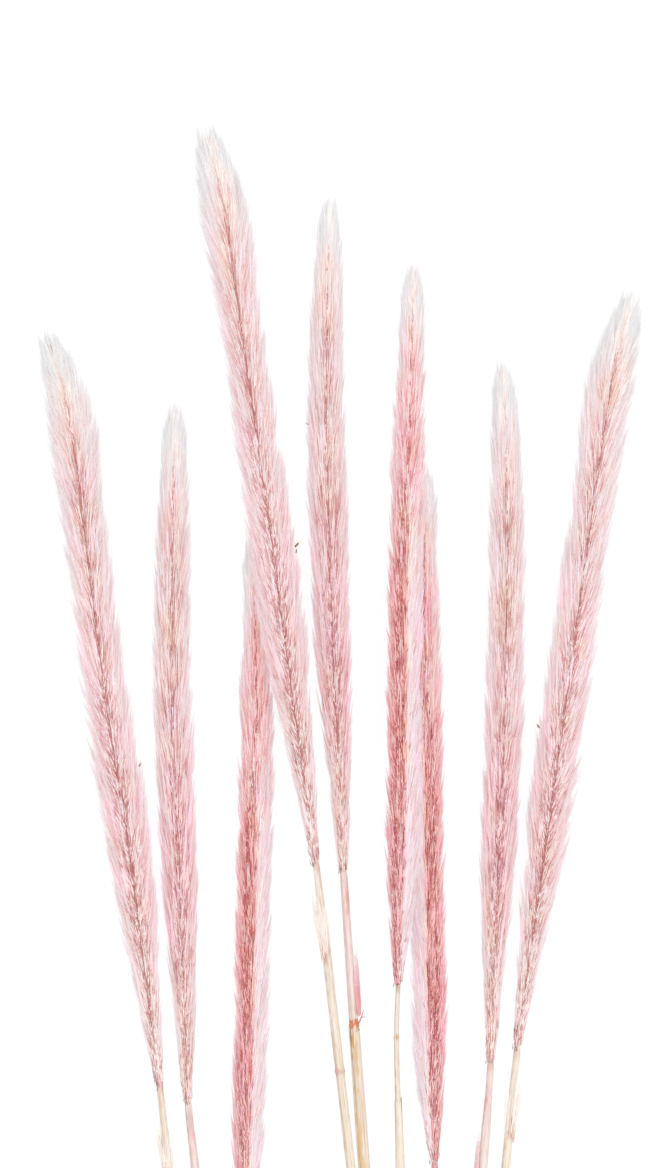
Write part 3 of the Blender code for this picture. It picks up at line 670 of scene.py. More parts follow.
def tuftedBristles(number, draw):
    grass, kind, look = plumeOf(number)
    shape, tufts = tuftLook, look["tufts"]
    count = tufts * shape["hairs"]
    share = pickShares(draw, kind, tufts)
    parted = look["parting"] * (1 - fade(share, look["partingTo"], shape["partingFades"]))

    def keep(angle):
        near = np.exp(-(fromTop(angle) / shape["partingWide"]) ** 2)
        under = fade(np.abs(fromTop(angle)), *shape["under"])
        return (1 - parted * near) * (1 - shape["fewerUnder"] * under)

    def each(values):
        return np.repeat(values, shape["hairs"])

    angle = pickAngles(draw, tufts, keep)
    away, edge = fromTop(angle), np.abs(np.cos(angle))
    sweep = look["sweep"] * (1 - fade(np.abs(away), *shape["sweptTo"]))
    length = draw.uniform(*look["length"], tufts)
    inner = happens(draw, tufts, shape["inner"])
    reach = np.where(inner, draw.uniform(*shape["innerReach"], tufts),
                     draw.uniform(*look["reach"], tufts))
    nearTip = 1 - fade(share, 0, bareTip["to"])
    reach = reach * (1 - shape["tipReach"] * nearTip) * slimmed(share)
    turnedAway = paler(grass, look, share, angle)
    tone = (draw.normal(0, look["toneUneven"], tufts) * (1 - turnedAway) + turnedAway
            + tableAt(look["edge"], share) * edge ** 2
            + tableAt(look["centre"], share) * (1 - edge ** 2)
            - shape["innerDarker"] * inner + bareTip["paler"] * nearTip * edge)
    warm = warmAt(number, look, share, angle) * (1 - shape["edgeCooler"] * edge)
    warm = happens(draw, tufts, warm * dyedAway(turnedAway))
    thick = each(thickness(kind, share))
    rootAngle = each(math.pi / 2 + away * (1 - sweep))
    rootAngle = rootAngle + draw.normal(0, shape["rootsApart"], count) / thick
    endAngle = each(angle) + draw.normal(0, shape["endsApart"], count) / thick
    lower = 1 + shape["lowerUneven"] * fade(each(share), *shape["lower"])
    tone = each(tone) + draw.normal(0, look["hairUneven"], count) * lower
    changed = happens(draw, count, shape["changed"])
    family = np.where(changed, draw.integers(0, 2, count), each(warm))
    family = np.where(happens(draw, count, shape["greyAway"] * each(turnedAway)), 2, family)
    return strands(
        number, draw, each(share) + draw.normal(0, 1, count) * scatter, endAngle, rootAngle,
        each(length) * draw.uniform(0.66, 1.04, count), draw.uniform(0.14, 0.42, count),
        each(reach) * draw.normal(1, 0.03, count), [level + tone for level in look["tone"]],
        family, shape["width"], 0.55, shape["steps"], shape["bow"])


def fringeWisps(number, draw):
    # fine pale bristles that draw together in points round the outline and fill the tip
    grass, kind, look = plumeOf(number)
    shape, onTop, tip = wispLook, wispLook["onTop"], bareTip["tufts"]
    total = look["wisps"] + tip
    count = total * shape["hairs"]

    def keep(angle):
        return onTop + (1 - onTop) * np.abs(np.cos(angle)) ** 1.5

    def each(values):
        return np.repeat(values, shape["hairs"])

    share = pickShares(draw, kind, look["wisps"], *shape["shares"], bareTip["fringeMore"])
    angle = pickAngles(draw, look["wisps"], keep)
    reach = draw.uniform(*look["wispReach"], look["wisps"])
    across = draw.uniform(0, 1, tip) ** 0.5
    atTip = bareTip["within"] * (across ** 2 * 0.6 + 0.4 * draw.uniform(0, 1, tip))
    share = np.concatenate((share, atTip - bareTip["over"]))
    angle = np.concatenate((angle, draw.uniform(0, 2 * math.pi, tip)))
    reach = np.concatenate((reach, across * shape["tipReach"]))
    reach = reach * (1 + bareTip["wider"] * np.exp(-np.maximum(share, 0) / bareTip["widerWithin"]))
    reach = reach * slimmed(share)
    length = draw.uniform(*look["wispLength"], total)
    thick = each(thickness(kind, share))
    tone = look["wispTone"] + draw.normal(0, shape["uneven"], count) - shape["darker"] * each(share)
    tone = tone + each(shape["paler"] * paler(grass, look, share, angle)
                       + look["wispPaler"] * (1 - fade(share, 0, shape["palerTo"])))
    grey = fringeLook["grey"] - fringeLook["less"] * fade(share, fringeLook["from"],
                                                          fringeLook["over"])
    back = np.abs(draw.normal(0, 1, count)) * scatter
    start = draw.uniform(*shape["start"], count) * np.minimum(each(reach) / 0.9, 1)
    return strands(
        number, draw, each(share) + back,
        each(angle) + draw.normal(0, shape["endsApart"], count) / thick,
        each(angle) + draw.normal(0, shape["rootsApart"], count) / thick,
        each(length) * draw.uniform(0.7, 1.05, count), start,
        each(reach) * draw.normal(1, 0.012, count), [level + tone for level in shape["tone"]],
        each(np.where(happens(draw, total, grey), 2, 0)), shape["width"], 0.8, (0, 0.55, 1),
        lean=0.75)


def ribs(number, draw):
    # short bristles that leave the middle line on both sides
    grass, kind, look = plumeOf(number)
    shape, count = ribLook, look["ribs"]
    share = draw.uniform(*shape["shares"], count)
    across = draw.normal(0, shape["uneven"], count) / thickness(kind, share)
    across = across - aside(grass, look, share)
    spread = across + draw.choice((-1, 1), count) * look["ribSpread"] * draw.uniform(0.2, 1, count)
    start = draw.uniform(*shape["start"], count)
    tone = look["ribTone"] + draw.normal(0, shape["toneUneven"], count)
    tone = tone + shape["softer"] * (1 - fade(share, 0, look["softTo"]))
    warm = happens(draw, count, warmAt(number, look, share, spread))
    return strands(number, draw, share, math.pi / 2 - spread, math.pi / 2 - across,
                   draw.uniform(*look["ribLength"], count), start,
                   start + draw.uniform(*shape["rise"], count), (tone, tone + shape["paler"]),
                   warm, shape["width"])


def lineDashes(number, draw):
    # the stalk shows through as a broken, slightly zigzag dark line
    grass, kind, look = plumeOf(number)
    shape, count = middleLine, look["line"]
    share = draw.uniform(shape["from"], shape["to"], count)
    far = share * (grass["line"][0][0] - grass["foot"])
    zigzag = shape["zigzag"] * np.abs((far / shape["turns"]) % 2 - 1) * 2 - shape["zigzag"]
    across = (zigzag + draw.normal(0, shape["uneven"], count)) / thickness(kind, share)
    across = across - aside(grass, look, share)
    reach = draw.uniform(*shape["reach"], count)
    tone = draw.uniform(*shape["tone"], count)
    tone = tone + shape["softer"] * (1 - fade(share, 0, shape["softTo"]))
    return strands(number, draw, share, math.pi / 2 - across - draw.normal(0, 0.03, count),
                   math.pi / 2 - across, draw.uniform(*shape["length"], count), reach, reach,
                   (tone, tone + shape["paler"]), draw.integers(0, 2, count), shape["width"], 0.3)


def bleached(look, share):
    # the tone of bleached bristles, paler towards the tip
    pale = bareTip["bleached"]
    return pale + (look["bleached"] - pale) * fade(share, *bareTip["bleachedTo"])


def streaks(number, draw):
    # single bristles, dark and bleached, that lie on top and follow the tufts
    grass, kind, look = plumeOf(number)
    shape, count = streakLook, look["streaks"]
    share = pickShares(draw, kind, count, 0.0, shape["to"])
    away = draw.normal(0, shape["away"], count)
    turnedAway = paler(grass, look, share, math.pi / 2 + away)
    dark = shape["dark"] + shape["darkerLow"] * fade(share, *shape["low"])
    dark = happens(draw, count, dark * (1 - shape["fewerAway"] * turnedAway))
    tone = np.where(dark, look["ribTone"] + shape["darkTone"], bleached(look, share))
    tone = tone + shape["palerAway"] * turnedAway + draw.normal(0, shape["toneUneven"], count)
    softer = shape["softer"] * (1 - fade(share, 0, look["softTo"]))
    tone = tone + dark * (softer + shape["sidePaler"] * np.abs(away))
    start = draw.uniform(*shape["start"], count)
    warm = happens(draw, count, warmAt(number, look, share, away) * dyedAway(turnedAway))
    return strands(number, draw, share, math.pi / 2 + away,
                   math.pi / 2 + away * (1 - shape["followed"] * look["sweep"]),
                   draw.uniform(*look["streakLength"], count), start,
                   start + draw.uniform(*shape["rise"], count), (tone, tone + shape["paler"]), warm)


def flecks(number, draw):
    # short crisp hairs near the middle line that lean out on both sides, dark or bleached
    grass, kind, look = plumeOf(number)
    shape, count, first = fleckLook, look["flecks"], look["fleckFrom"]
    share = first + (shape["to"] - first) * draw.uniform(0, 1, count) ** 0.7
    away = draw.normal(0, shape["away"], count) / thickness(kind, share)
    away = away - aside(grass, look, share, shape["aside"])
    dark = happens(draw, count, shape["dark"])
    darkTone = draw.uniform(*shape["darkTone"], count)
    paleTone = bleached(look, share) + draw.uniform(*shape["paleUneven"], count)
    tone = np.where(dark, darkTone, paleTone)
    reach = draw.uniform(*shape["reach"], count)
    lean = draw.uniform(*shape["lean"], count) * np.sign(away)
    return strands(number, draw, share, math.pi / 2 - away - lean, math.pi / 2 - away,
                   draw.uniform(*shape["length"], count), reach, reach * shape["rise"],
                   (tone, tone + shape["paler"]), draw.integers(0, 2, count), roll=0.3)


def footHairs(number, draw):
    # more of them on the left, as the grasses lie
    shape, count = footLook, footLook["count"]
    share = draw.uniform(0, 1, count) ** 0.7
    share = shape["from"] + (shape["to"] - shape["from"]) * share
    angle = math.pi / 2 + draw.normal(shape["side"], shape["spread"], count)
    reach = draw.uniform(*shape["reach"], count)
    tone = draw.uniform(*shape["tone"], count)
    return strands(number, draw, share, angle + draw.normal(0, 0.2, count), angle,
                   draw.uniform(*shape["length"], count), reach,
                   reach * draw.uniform(*shape["rise"], count), (tone, tone + shape["paler"]),
                   None, shape["width"], 0.3, below=shape["below"])


def flatRibbon(points, widths, spots, spread=0.0016):
    # one bristle that faces up
    facing = np.broadcast_to(skyward, points.shape)
    return ribbons(points[None], widths[None], facing[None], spots[None], spread)


# Loose husks that stand out of a plume's side: distance from the tie, side, long, wide, turned.
husks = {1: ((579.0, 1, 3.4, 1.6, 0.7),), 5: ((751.8, -1, 3.0, 0.6, 1.2),),
         4: ((689.0, 1, 4.6, 2.1, 0.9), (686.0, 1, 3.0, 1.5, 0.3)),
         9: ((598.5, -1, 3.4, 1.6, 0.8),)}
# Each is a scale and a dark point: tone, size and how far along the husk it starts.
huskLook = {"layers": ((0.72, 1.0, 0.0), (0.02, 0.45, 0.35)), "inset": 0.94, "raised": 2.0,
            "bend": 0.5, "steps": (0, 0.3, 0.65, 1), "widths": (0.7, 1.0, 0.8), "above": 0.25}


def loose(number):
    grass, kind, _ = plumeOf(number)
    axis, top, shape = axes[number], grass["line"][0][0], huskLook
    t = np.array(shape["steps"])[:, None]
    parts = []
    for y, side, long, wide, turned in husks.get(number, ()):
        out = float(halfWidth(kind, (top - y) / (top - grass["foot"])))
        mid, across, ahead = (onAxis(axis, name, np.array(y))
                              for name in ("mid", "across", "along"))
        root = mid + across * side * out * shape["inset"] + skyward * shape["raised"]
        way = across * side * math.sin(turned) + ahead * math.cos(turned)
        path = root + way * long * t + ahead * shape["bend"] * t * t
        for tone, size, start in shape["layers"]:
            points = root * start + path * (1 - start) + skyward * shape["above"] * start
            widths = wide * size * np.array(shape["widths"])
            parts.append(flatRibbon(points, widths, huskSpot(tone + 0.05 * t[:, 0]), 0.0008))
    return parts


# The matted inside and the stalk: their shares, rows and sides, and how much of the plume is full.
insideLook = {"core": (0.045, 0.995, 64), "coreSides": 16, "filled": 0.38, "fuller": 0.34,
              "fullFrom": (0.93, 0.07), "uneven": 0.06, "tone": 0.26, "stalk": (0.02, 1.0, 60),
              "stalkSides": 8, "thick": ((0, 0.35), (0.3, 0.7), (1, 1.1)), "raised": 0.55,
              "raisedTo": (0.9, 0.1), "stalkTone": 0.06}


def insideOf(number, draw):
    # the matted inside, and the stalk that shows where the bristles part
    grass, kind, _ = plumeOf(number)
    axis, top, shape = axes[number], grass["line"][0][0], insideLook
    long = top - grass["foot"]
    share, turn = ringGrid(np.linspace(*shape["core"]), shape["coreSides"])
    filled = shape["filled"] + shape["fuller"] * fade(share, *shape["fullFrom"])
    radius = halfWidth(kind, share) * filled * (1 + draw.normal(0, shape["uneven"], share.shape))
    rings = settled(around(axis, top - share * long, turn, radius, layout["flatness"]))
    tone = shape["tone"] + draw.normal(0, 0.05, (1, shape["coreSides"]))
    tone = tone + draw.normal(0, 0.03, share.shape)
    core = tube(rings, paletteSpot(share, tone, 0))
    share, turn = ringGrid(np.linspace(*shape["stalk"]), shape["stalkSides"])
    y = top - share * long
    lift = halfWidth(kind, share) * shape["raised"] * layout["flatness"]
    lift = lift * (1 - fade(share, *shape["raisedTo"]))
    rings = around(axis, y, turn, tableAt(shape["thick"], share))
    rings = rings + onAxis(axis, "up", y) * lift[..., None]
    # painted light and shade: the stalk is paler on its right side and darker on its left, as lit
    # from the right
    stalkTone = shape["stalkTone"] * (1 + 0.5 * np.cos(turn))
    return [core, tube(rings, paletteSpot(share, stalkTone, 1))]


def dressPlume(number):
    draw = np.random.default_rng(500 + number)
    parts = [make(number, draw) for make in (tuftedBristles, fringeWisps, ribs, lineDashes,
                                             streaks, flecks, footHairs)]
    parts += insideOf(number, draw) + loose(number)
    kind = grasses[number]["kind"]
    piece = meshPiece(f"bristles_{number}", [(bristleMaterials[kind], parts)],
                      [f"plume_{number}"])
    return len(piece.data.polygons)


triangles = {number: dressPlume(number) for number in grasses}
print("plumes dressed, triangles:", triangles)


def makeGrainGroup():
    # streaks that run along a stem, and blotches
    tree, given, out = newGroup("strawGrain", "Around Along Seed Fineness", "", "Streak Blotch")
    turn = times(tree, given["Around"], 2 * math.pi)
    x, y = math2(tree, "COSINE", turn), math2(tree, "SINE", turn)
    for title, fineness, shorter, scale, detail, rough in (
            ("Streak", given["Fineness"], 3.5, 1.0, 3.0, 0.6),
            ("Blotch", 1.0, 13.0, 1.3, 2.0, 0.4)):
        run = plus(tree, times(tree, given["Along"], shorter), given["Seed"])
        at = node(tree, "CombineXYZ", (times(tree, x, fineness), times(tree, y, fineness), run))[0]
        noise = node(tree, "TexNoise", {"Vector": at, "Scale": scale, "Detail": detail,
                                        "Roughness": rough})
        tree.links.new(noise["Fac"], out[title])


def makeStainAndShadeGroup():
    # stains and the painted side shade and light alike fade lengthwise and to both sides, unevenly
    tree, given, out = newGroup("stainAndShade", "Around Along At Half Side Wide Uneven Strength", "",
                                "Mask")

    def apart(a, b, unit, full):
        far = math2(tree, "DIVIDE", math2(tree, "ABSOLUTE", minus(tree, a, b)), unit)
        return ranged(tree, plus(tree, far, uneven), 1.0, full, way="SMOOTHSTEP")

    uneven = times(tree, minus(tree, given["Uneven"], 0.5), 2.4)
    lengthwise = apart(given["Along"], given["At"], given["Half"], 0.0)
    turned = math2(tree, "FRACT", plus(tree, minus(tree, given["Around"], given["Side"]), 1.5))
    mask = times(tree, lengthwise, apart(turned, 0.5, given["Wide"], 0.3))
    tree.links.new(times(tree, mask, given["Strength"]), out["Mask"])


def makeThreeToneGroup():
    tree, given, out = newGroup("threeTones", "Streak", "Dark Middle Light", "Colour")
    colour = mixed(tree, ranged(tree, given["Streak"], 0.34, 0.48), given["Dark"], given["Middle"])
    colour = mixed(tree, ranged(tree, given["Streak"], 0.50, 0.66), colour, given["Light"])
    tree.links.new(colour, out["Colour"])


makeGrainGroup()
makeStainAndShadeGroup()
makeThreeToneGroup()


def grained(tree, around, along, seed, fineness):
    grain = useGroup(tree, "strawGrain", Around=around, Along=along, Seed=seed, Fineness=fineness)
    return grain["Streak"], grain["Blotch"]


def threeTones(tree, streak, tones, light=1.0):
    colours = named("Dark Middle Light", (linear(*tone, light) for tone in tones))
    return useGroup(tree, "threeTones", Streak=streak, **colours)["Colour"]


def addBump(tree, shader, height, strength):
    bump = node(tree, "Bump", {"Strength": strength, "Distance": 0.0002, "Height": height})
    tree.links.new(bump[0], shader.inputs["Normal"])


strawTones = {
    "straw": ((204, 180, 152), (232, 215, 194), (246, 236, 222)),
    "beige": ((208, 188, 168), (234, 220, 205), (247, 241, 233)),
    "rosy": ((214, 184, 180), (237, 210, 207), (246, 231, 229)),
    "hidden": ((196, 168, 126), (226, 204, 166), (243, 229, 202)),
}

# Each culm: its tones beneath the plume and further down, where they change, and its stains:
# distance from the tie, half length, side 0-1 from across to upwards, half width, colour, strength.
culmLooks = {
    1: {"tones": ("beige", "straw"), "change": 395,
        "stains": ((418, 8, 0.3, 1.2, (222, 176, 152), 0.5),
                   (392, 12, 0.6, 0.3, (222, 168, 160), 0.4))},
    2: {"tones": ("rosy", "straw"), "change": 330,
        "stains": ((405, 6, 0.3, 0.6, (206, 168, 172), 0.5),
                   (396, 9, 0.05, 0.25, (230, 168, 168), 0.6))},
    3: {"tones": ("beige", "straw"), "change": 300,
        "stains": ((338, 10, 0.3, 1.2, (226, 160, 150), 0.7),)},
    4: {"tones": ("beige", "straw"), "change": 455,
        "stains": ((531, 5, 0.3, 1.2, (214, 160, 140), 0.5),
                   (487, 6, 0.42, 0.3, (184, 128, 104), 0.6),
                   (429, 3, 0.35, 0.5, (208, 160, 160), 0.65),
                   (446, 14, 0.55, 0.3, (204, 176, 150), 0.4))},
    5: {"tones": ("rosy", "straw"), "change": 450,
        "stains": ((514, 10, 0.05, 0.22, (226, 140, 140), 0.7),
                   (451.8, 2.8, 0.16, 0.46, (214, 118, 84), 2.4),
                   # golden ochre where culm 5 shows in its sheath's slit: its own colour, painted
                   # paler as painted light against the shade in the slit
                   (442, 11, 0.3, 0.4, (222, 176, 112), 0.85))},
    6: {"tones": ("beige", "straw"), "change": 440,
        "stains": ((471, 4, 0.3, 1.2, (196, 140, 120), 0.5),
                   (446, 2.6, 0.4, 0.45, (206, 146, 88), 0.75),
                   (425, 36, 0.5, 0.12, (196, 150, 100), 0.6))},
    7: {"tones": ("rosy", "straw"), "change": 330,
        "stains": ((379, 10, 0.3, 1.2, (206, 120, 128), 0.7),)},
    8: {"tones": ("rosy", "straw"), "change": 345,
        "stains": ((431, 4, 0.3, 1.2, (214, 160, 150), 0.5),
                   (413, 10, 0.5, 0.25, (228, 160, 162), 0.7))},
    9: {"tones": ("beige", "straw"), "change": 400,
        "stains": ((438, 6, 0.3, 1.2, (218, 170, 146), 0.5),
                   (400, 8, 0.1, 0.3, (198, 146, 120), 0.6))},
}
# Painted shade and light along the straw's whole length, both edges as seen: a darker painted shade
# on a culm's left edge, a paler painted light on its right edge and a paler painted light on its
# top.
paintedSideShadeAndLight = ((250, 400, 0.49, 0.17, (196, 170, 150), 0.55),
               (250, 400, 0.03, 0.2, (246, 238, 224), 0.6),
               (250, 400, 0.22, 0.12, (238, 224, 204), 0.4))
# Leaf sheaths: thin, split along one side, with a torn lip on top.
sheaths = {
    5: {"top": 448.0, "bottom": 268.0, "split": 2.2, "change": 300, "tones": ("straw", "hidden"),
        "lip": 4.0, "lipFirst": True, "standsOff": 0.25, "open": math.radians(46),
        "stains": ((434, 14, 0.93, 0.07, (212, 166, 104), 0.7),
                   (390, 44, 0.97, 0.12, (226, 188, 128), 0.75),
                   (412, 44, 0.70, 0.10, (241, 210, 206), 0.8))},
    6: {"top": 414.0, "bottom": 243.0, "split": 0.4, "change": 300, "tones": ("straw", "hidden"),
        "lip": 1.4, "lipFirst": False, "standsOff": 0.04, "open": math.radians(16),
        "stains": ((395, 26, 0.5, 0.16, (212, 180, 140), 0.5),)},
}
culm = {"sides": 20, "step": 5.0, "uneven": 0.06, "ridges": 11, "ridgeDepth": 0.045,
        "intoPlume": 7.0, "hollow": (1.35, 1.08), "hollowDepth": 3.0, "roughness": 0.42,
        "bump": 0.25, "lengthUnit": 100.0, "light": 1.03, "change": (-8, 34),
        "neck": (0.24, 50.0), "slimNecks": {6: (0.5, 200.0), 5: (0.16, 50.0)}, "sheathed": 0.26,
        "jointHalf": 3.2, "jointRows": (0.4, 0.95, 1.3, 1.65, 2.2, 3.2, 4.6),
        "groove": 0.16, "grooveAt": 1.3, "grooveHalf": 0.35}


def strawMaterial(name, looks, start, long, seed, fineness=3.2):
    made, tree, shader = newMaterial(name, culm["roughness"])
    u, v = mapPlace(tree)
    piece = culm["lengthUnit"]
    run = plus(tree, times(tree, v, long / piece), start / piece)
    streak, blotch = grained(tree, u, run, seed, fineness)
    upper, lower = (threeTones(tree, streak, strawTones[tone], culm["light"])
                    for tone in looks["tones"])
    first, last = ((looks["change"] + more) / piece for more in culm["change"])
    spread = plus(tree, run, times(tree, blotch, 0.2))
    colour = mixed(tree, ranged(tree, spread, first, last, way="SMOOTHSTEP"), lower, upper)
    # the painted side shade and light go on first, then the piece's own stains
    for at, half, side, wide, stainAndShadeColour, strength in paintedSideShadeAndLight + looks["stains"]:
        mask = useGroup(tree, "stainAndShade", Around=u, Along=run, At=at / piece, Half=half / piece,
                        Side=side, Wide=wide, Uneven=blotch, Strength=strength)["Mask"]
        colour = mixed(tree, mask, colour, linear(*stainAndShadeColour, culm["light"]))
    tree.links.new(colour, shader.inputs["Base Color"])
    addBump(tree, shader, streak, culm["bump"])
    return made


def narrowedTo(number, y):
    # a culm is slimmer beneath its plume and goes on thinner inside it
    foot = grasses[number]["foot"]
    neck, neckLength = culm["slimNecks"].get(number, culm["neck"])
    return ((1 - 0.45 * fade(y, foot - 2, culm["intoPlume"]))
            * (1 - neck * (1 - eased((foot - y) / neckLength))))


def culmRadius(number, y):
    def near(shift=0.0):
        return np.min([np.abs(y - joint + shift) for joint in grasses[number]["joints"]], axis=0)

    swell = layout["jointRadius"] - layout["stemRadius"]
    swell = swell * (1 - eased(near() / culm["jointHalf"]))
    groove = culm["groove"] * sum(np.exp(-(near(side * culm["grooveAt"]) / culm["grooveHalf"]) ** 2)
                                  for side in (1, -1))
    inSheath = 0.0
    if number in sheaths:
        # a culm fills its sheath, where it is hidden but for the slit
        shape = sheaths[number]
        inSheath = culm["sheathed"] * ((y < shape["top"] - 6) & (y > shape["bottom"] + 4))
    return (layout["stemRadius"] + swell - groove + inSheath) * narrowedTo(number, y)


def dressCulm(number):
    grass, axis, looks = grasses[number], axes[number], culmLooks[number]
    draw = np.random.default_rng(700 + number)
    end, top, joints = grass["end"], grass["foot"] + culm["intoPlume"], grass["joints"]
    ys = [y for y in np.arange(end, top, culm["step"]) if all(abs(y - at) > 5 for at in joints)]
    ys += [at + side * k for at in joints for k in culm["jointRows"] for side in (-1, 1)]
    ys, turn = ringGrid(sorted(ys + [top, grass["foot"] - 2, grass["foot"] + 2]), culm["sides"])
    wander = np.interp(ys, np.linspace(end, top, 40), draw.normal(0, culm["uneven"], 40))
    ridge = culm["ridgeDepth"] * np.cos(culm["ridges"] * turn + 3 * draw.uniform())
    radius = culmRadius(number, ys) + wander + ridge * (np.abs(ys) > 12)
    rows = around(axis, ys, turn, np.minimum(radius, layout["jointRadius"]))
    # along the map the rows keep their true spacing
    outer, long = skin(rows), float(ys[-1, 0] - end)
    steps = (ys[:, 0] - end) / long
    outer[2][..., 1] = np.interp(outer[2][..., 1], np.linspace(0, 1, len(steps)), steps)
    face, turn = ringGrid((end, end + culm["hollowDepth"]), culm["sides"])
    cut = around(axis, face, turn, np.array(culm["hollow"])[:, None])[:, ::-1]
    floor = np.repeat(cut[1:].mean(1, keepdims=True), culm["sides"], 1)
    inside = skin(np.concatenate((rows[:1, ::-1], cut, floor)))
    material = strawMaterial(f"straw_{number}", looks, end, long, 3.1 * number)
    meshPiece(f"culm_{number}", [(material, [outer]), (pithMaterial, [inside])],
              [f"stem_{number}"])


def makePith():
    made, tree, shader = newMaterial("pith", 0.9)
    u, v = mapPlace(tree)
    streak, _ = grained(tree, u, v, 4.0, 9.0)
    colour = threeTones(tree, streak, ((168, 136, 92), (222, 200, 158), (242, 228, 198)))
    tree.links.new(colour, shader.inputs["Base Color"])
    return made


pithMaterial = makePith()
for number in grasses:
    dressCulm(number)
print("culms made")


sheathLook = {"closed": math.radians(3), "closedBy": 0.3, "wall": (0.45, 0.16), "sides": 26,
              "rows": 46, "torn": 1.1, "tears": 14, "tornBelow": 0.4, "lipFrom": (0.93, 0.07),
              "wander": 0.05, "wanders": 16, "curls": ((0.14, 0.08), (0.08, 0.06)),
              "ripple": (0.03, 9), "grain": 4.5}


def sheet(axis, y, turn, radius, wall):
    # a thin closed sheet round a stem
    inner, outer = around(axis, y, turn, radius), around(axis, y, turn, radius + wall)
    parts = [skin(outer, closed=False), skin(inner[:, ::-1], left=1.0, right=0.0, closed=False)]
    for a, b, u in ((inner[:, 0], outer[:, 0], 0.0), (outer[:, -1], inner[:, -1], 1.0)):
        parts.append(skin(np.stack((a, b), 1), left=u, right=abs(u - 0.02), closed=False))
    for a, b, v in ((outer[0], inner[0], 0.0), (inner[-1], outer[-1], 1.0)):
        parts.append(skin(np.stack((a, b), 0), low=v, high=abs(v - 0.01), closed=False))
    return parts


def dressSheath(number):
    shape, look = sheaths[number], sheathLook
    draw = np.random.default_rng(800 + number)
    t, k = crossed(np.linspace(0, 1, look["rows"]), np.linspace(0, 1, look["sides"]))
    tears, wanders = look["tears"], look["wanders"]
    torn = np.interp(k, np.linspace(0, 1, tears), draw.uniform(-1, 1, tears)) * look["torn"]
    lip = (1 - k) ** 2 if shape["lipFirst"] else k ** 2
    bottom = shape["bottom"] + look["tornBelow"] * torn
    y = bottom + (shape["top"] + shape["lip"] * lip + torn - bottom) * t
    opened = fade(t, 1 - look["closedBy"], look["closedBy"])
    edge = (look["closed"] + (shape["open"] - look["closed"]) * opened) / 2
    wander = np.interp(t, np.linspace(0, 1, wanders), draw.normal(0, look["wander"], wanders))
    turn = shape["split"] + edge + wander + (2 * math.pi - 2 * edge) * k
    lift = shape["standsOff"] * lip * fade(t, *look["lipFrom"])
    curl = opened * sum(rise * np.exp(-(away / wide) ** 2)
                        for away, (rise, wide) in zip((1 - k, k), look["curls"]))
    ripple, ripples = look["ripple"]
    inner = layout["stemRadius"] * narrowedTo(number, y) + layout["gap"]
    inner = inner + lift + curl + ripple * np.cos(ripples * turn)
    low, thin = look["wall"]
    part = sheet(axes[number], y, turn, inner, low + (thin - low) * opened)
    material = strawMaterial(f"sheathStraw_{number}", shape, shape["bottom"],
                             shape["top"] - shape["bottom"], 9.7 * number, look["grain"])
    meshPiece(f"leafSheath_{number}", [(material, part)], [f"sheath_{number}"])


# Torn strips and hairy scraps of sheath that still cling to the stems.
strips = {5: {"top": 485.5, "bottom": 456.0, "side": 0.35, "width": 3.2, "flare": 1.0, "hairs": 60},
          8: {"top": 393.0, "bottom": 349.0, "side": 2.9, "width": 3.0, "flare": 0.9, "hairs": 20}}
scraps = {1: {"root": 376.0, "reach": 32.0, "side": 2.6, "hairs": 200},
          4: {"root": 489.0, "reach": 32.0, "side": 2.6, "hairs": 280},
          9: {"root": 397.0, "reach": 32.0, "side": 0.5, "hairs": 200}}
scrapLook = {"wall": 0.35, "rows": 24, "columns": 9, "least": 0.55, "evenFrom": 0.83, "tip": 0.35,
             "half": ((0, 0.3), (0.12, 0.66), (0.4, 0.56), (0.62, 0.2)), "long": 0.62,
             "roughness": 0.55, "light": 1.08}
# Their three tones, first at the root and then at the tip.
stainedTones = {
    "strip": (((222, 136, 144), (238, 166, 172), (246, 196, 200)),
              ((232, 176, 184), (244, 214, 218), (247, 234, 237))),
    "scrap": (((158, 112, 92), (216, 188, 166), (236, 220, 204)),
              ((204, 178, 158), (230, 212, 196), (240, 231, 221))),
}


def makeStained(look):
    made, tree, shader = newMaterial("stainedSheath_" + look, scrapLook["roughness"])
    u, v = mapPlace(tree)
    streak, blotch = grained(tree, times(tree, u, 0.4), v, 2.0, 9.0)
    pair = [threeTones(tree, streak, tones, scrapLook["light"]) for tones in stainedTones[look]]
    tipward = ranged(tree, plus(tree, v, times(tree, blotch, 0.5)), 0.6, 1.2)
    tree.links.new(mixed(tree, tipward, *pair), shader.inputs["Base Color"])
    return made


stainedMaterials = {look: makeStained(look) for look in stainedTones}


# Tiny dry twigs at a joint, each from (distance from the tie, out from the line) to another.
twigs = {5: (((452.0, 2.2), (459.5, 5.6), 0.7), ((455.0, 3.6), (455.2, 6.6), 0.45))}


def twig(axis, start, end, wide):
    t = np.array((0, 0.35, 0.7, 1))
    y = start[0] + (end[0] - start[0]) * t ** 1.4
    out = start[1] + (end[1] - start[1]) * t
    points = onAxis(axis, "mid", y) + onAxis(axis, "across", y) * out[:, None] + skyward * 1.2
    return flatRibbon(points, wide * np.array((1.0, 0.85, 0.7)),
                      paletteSpot(0.55, 0.12 + 0.1 * t, 1))


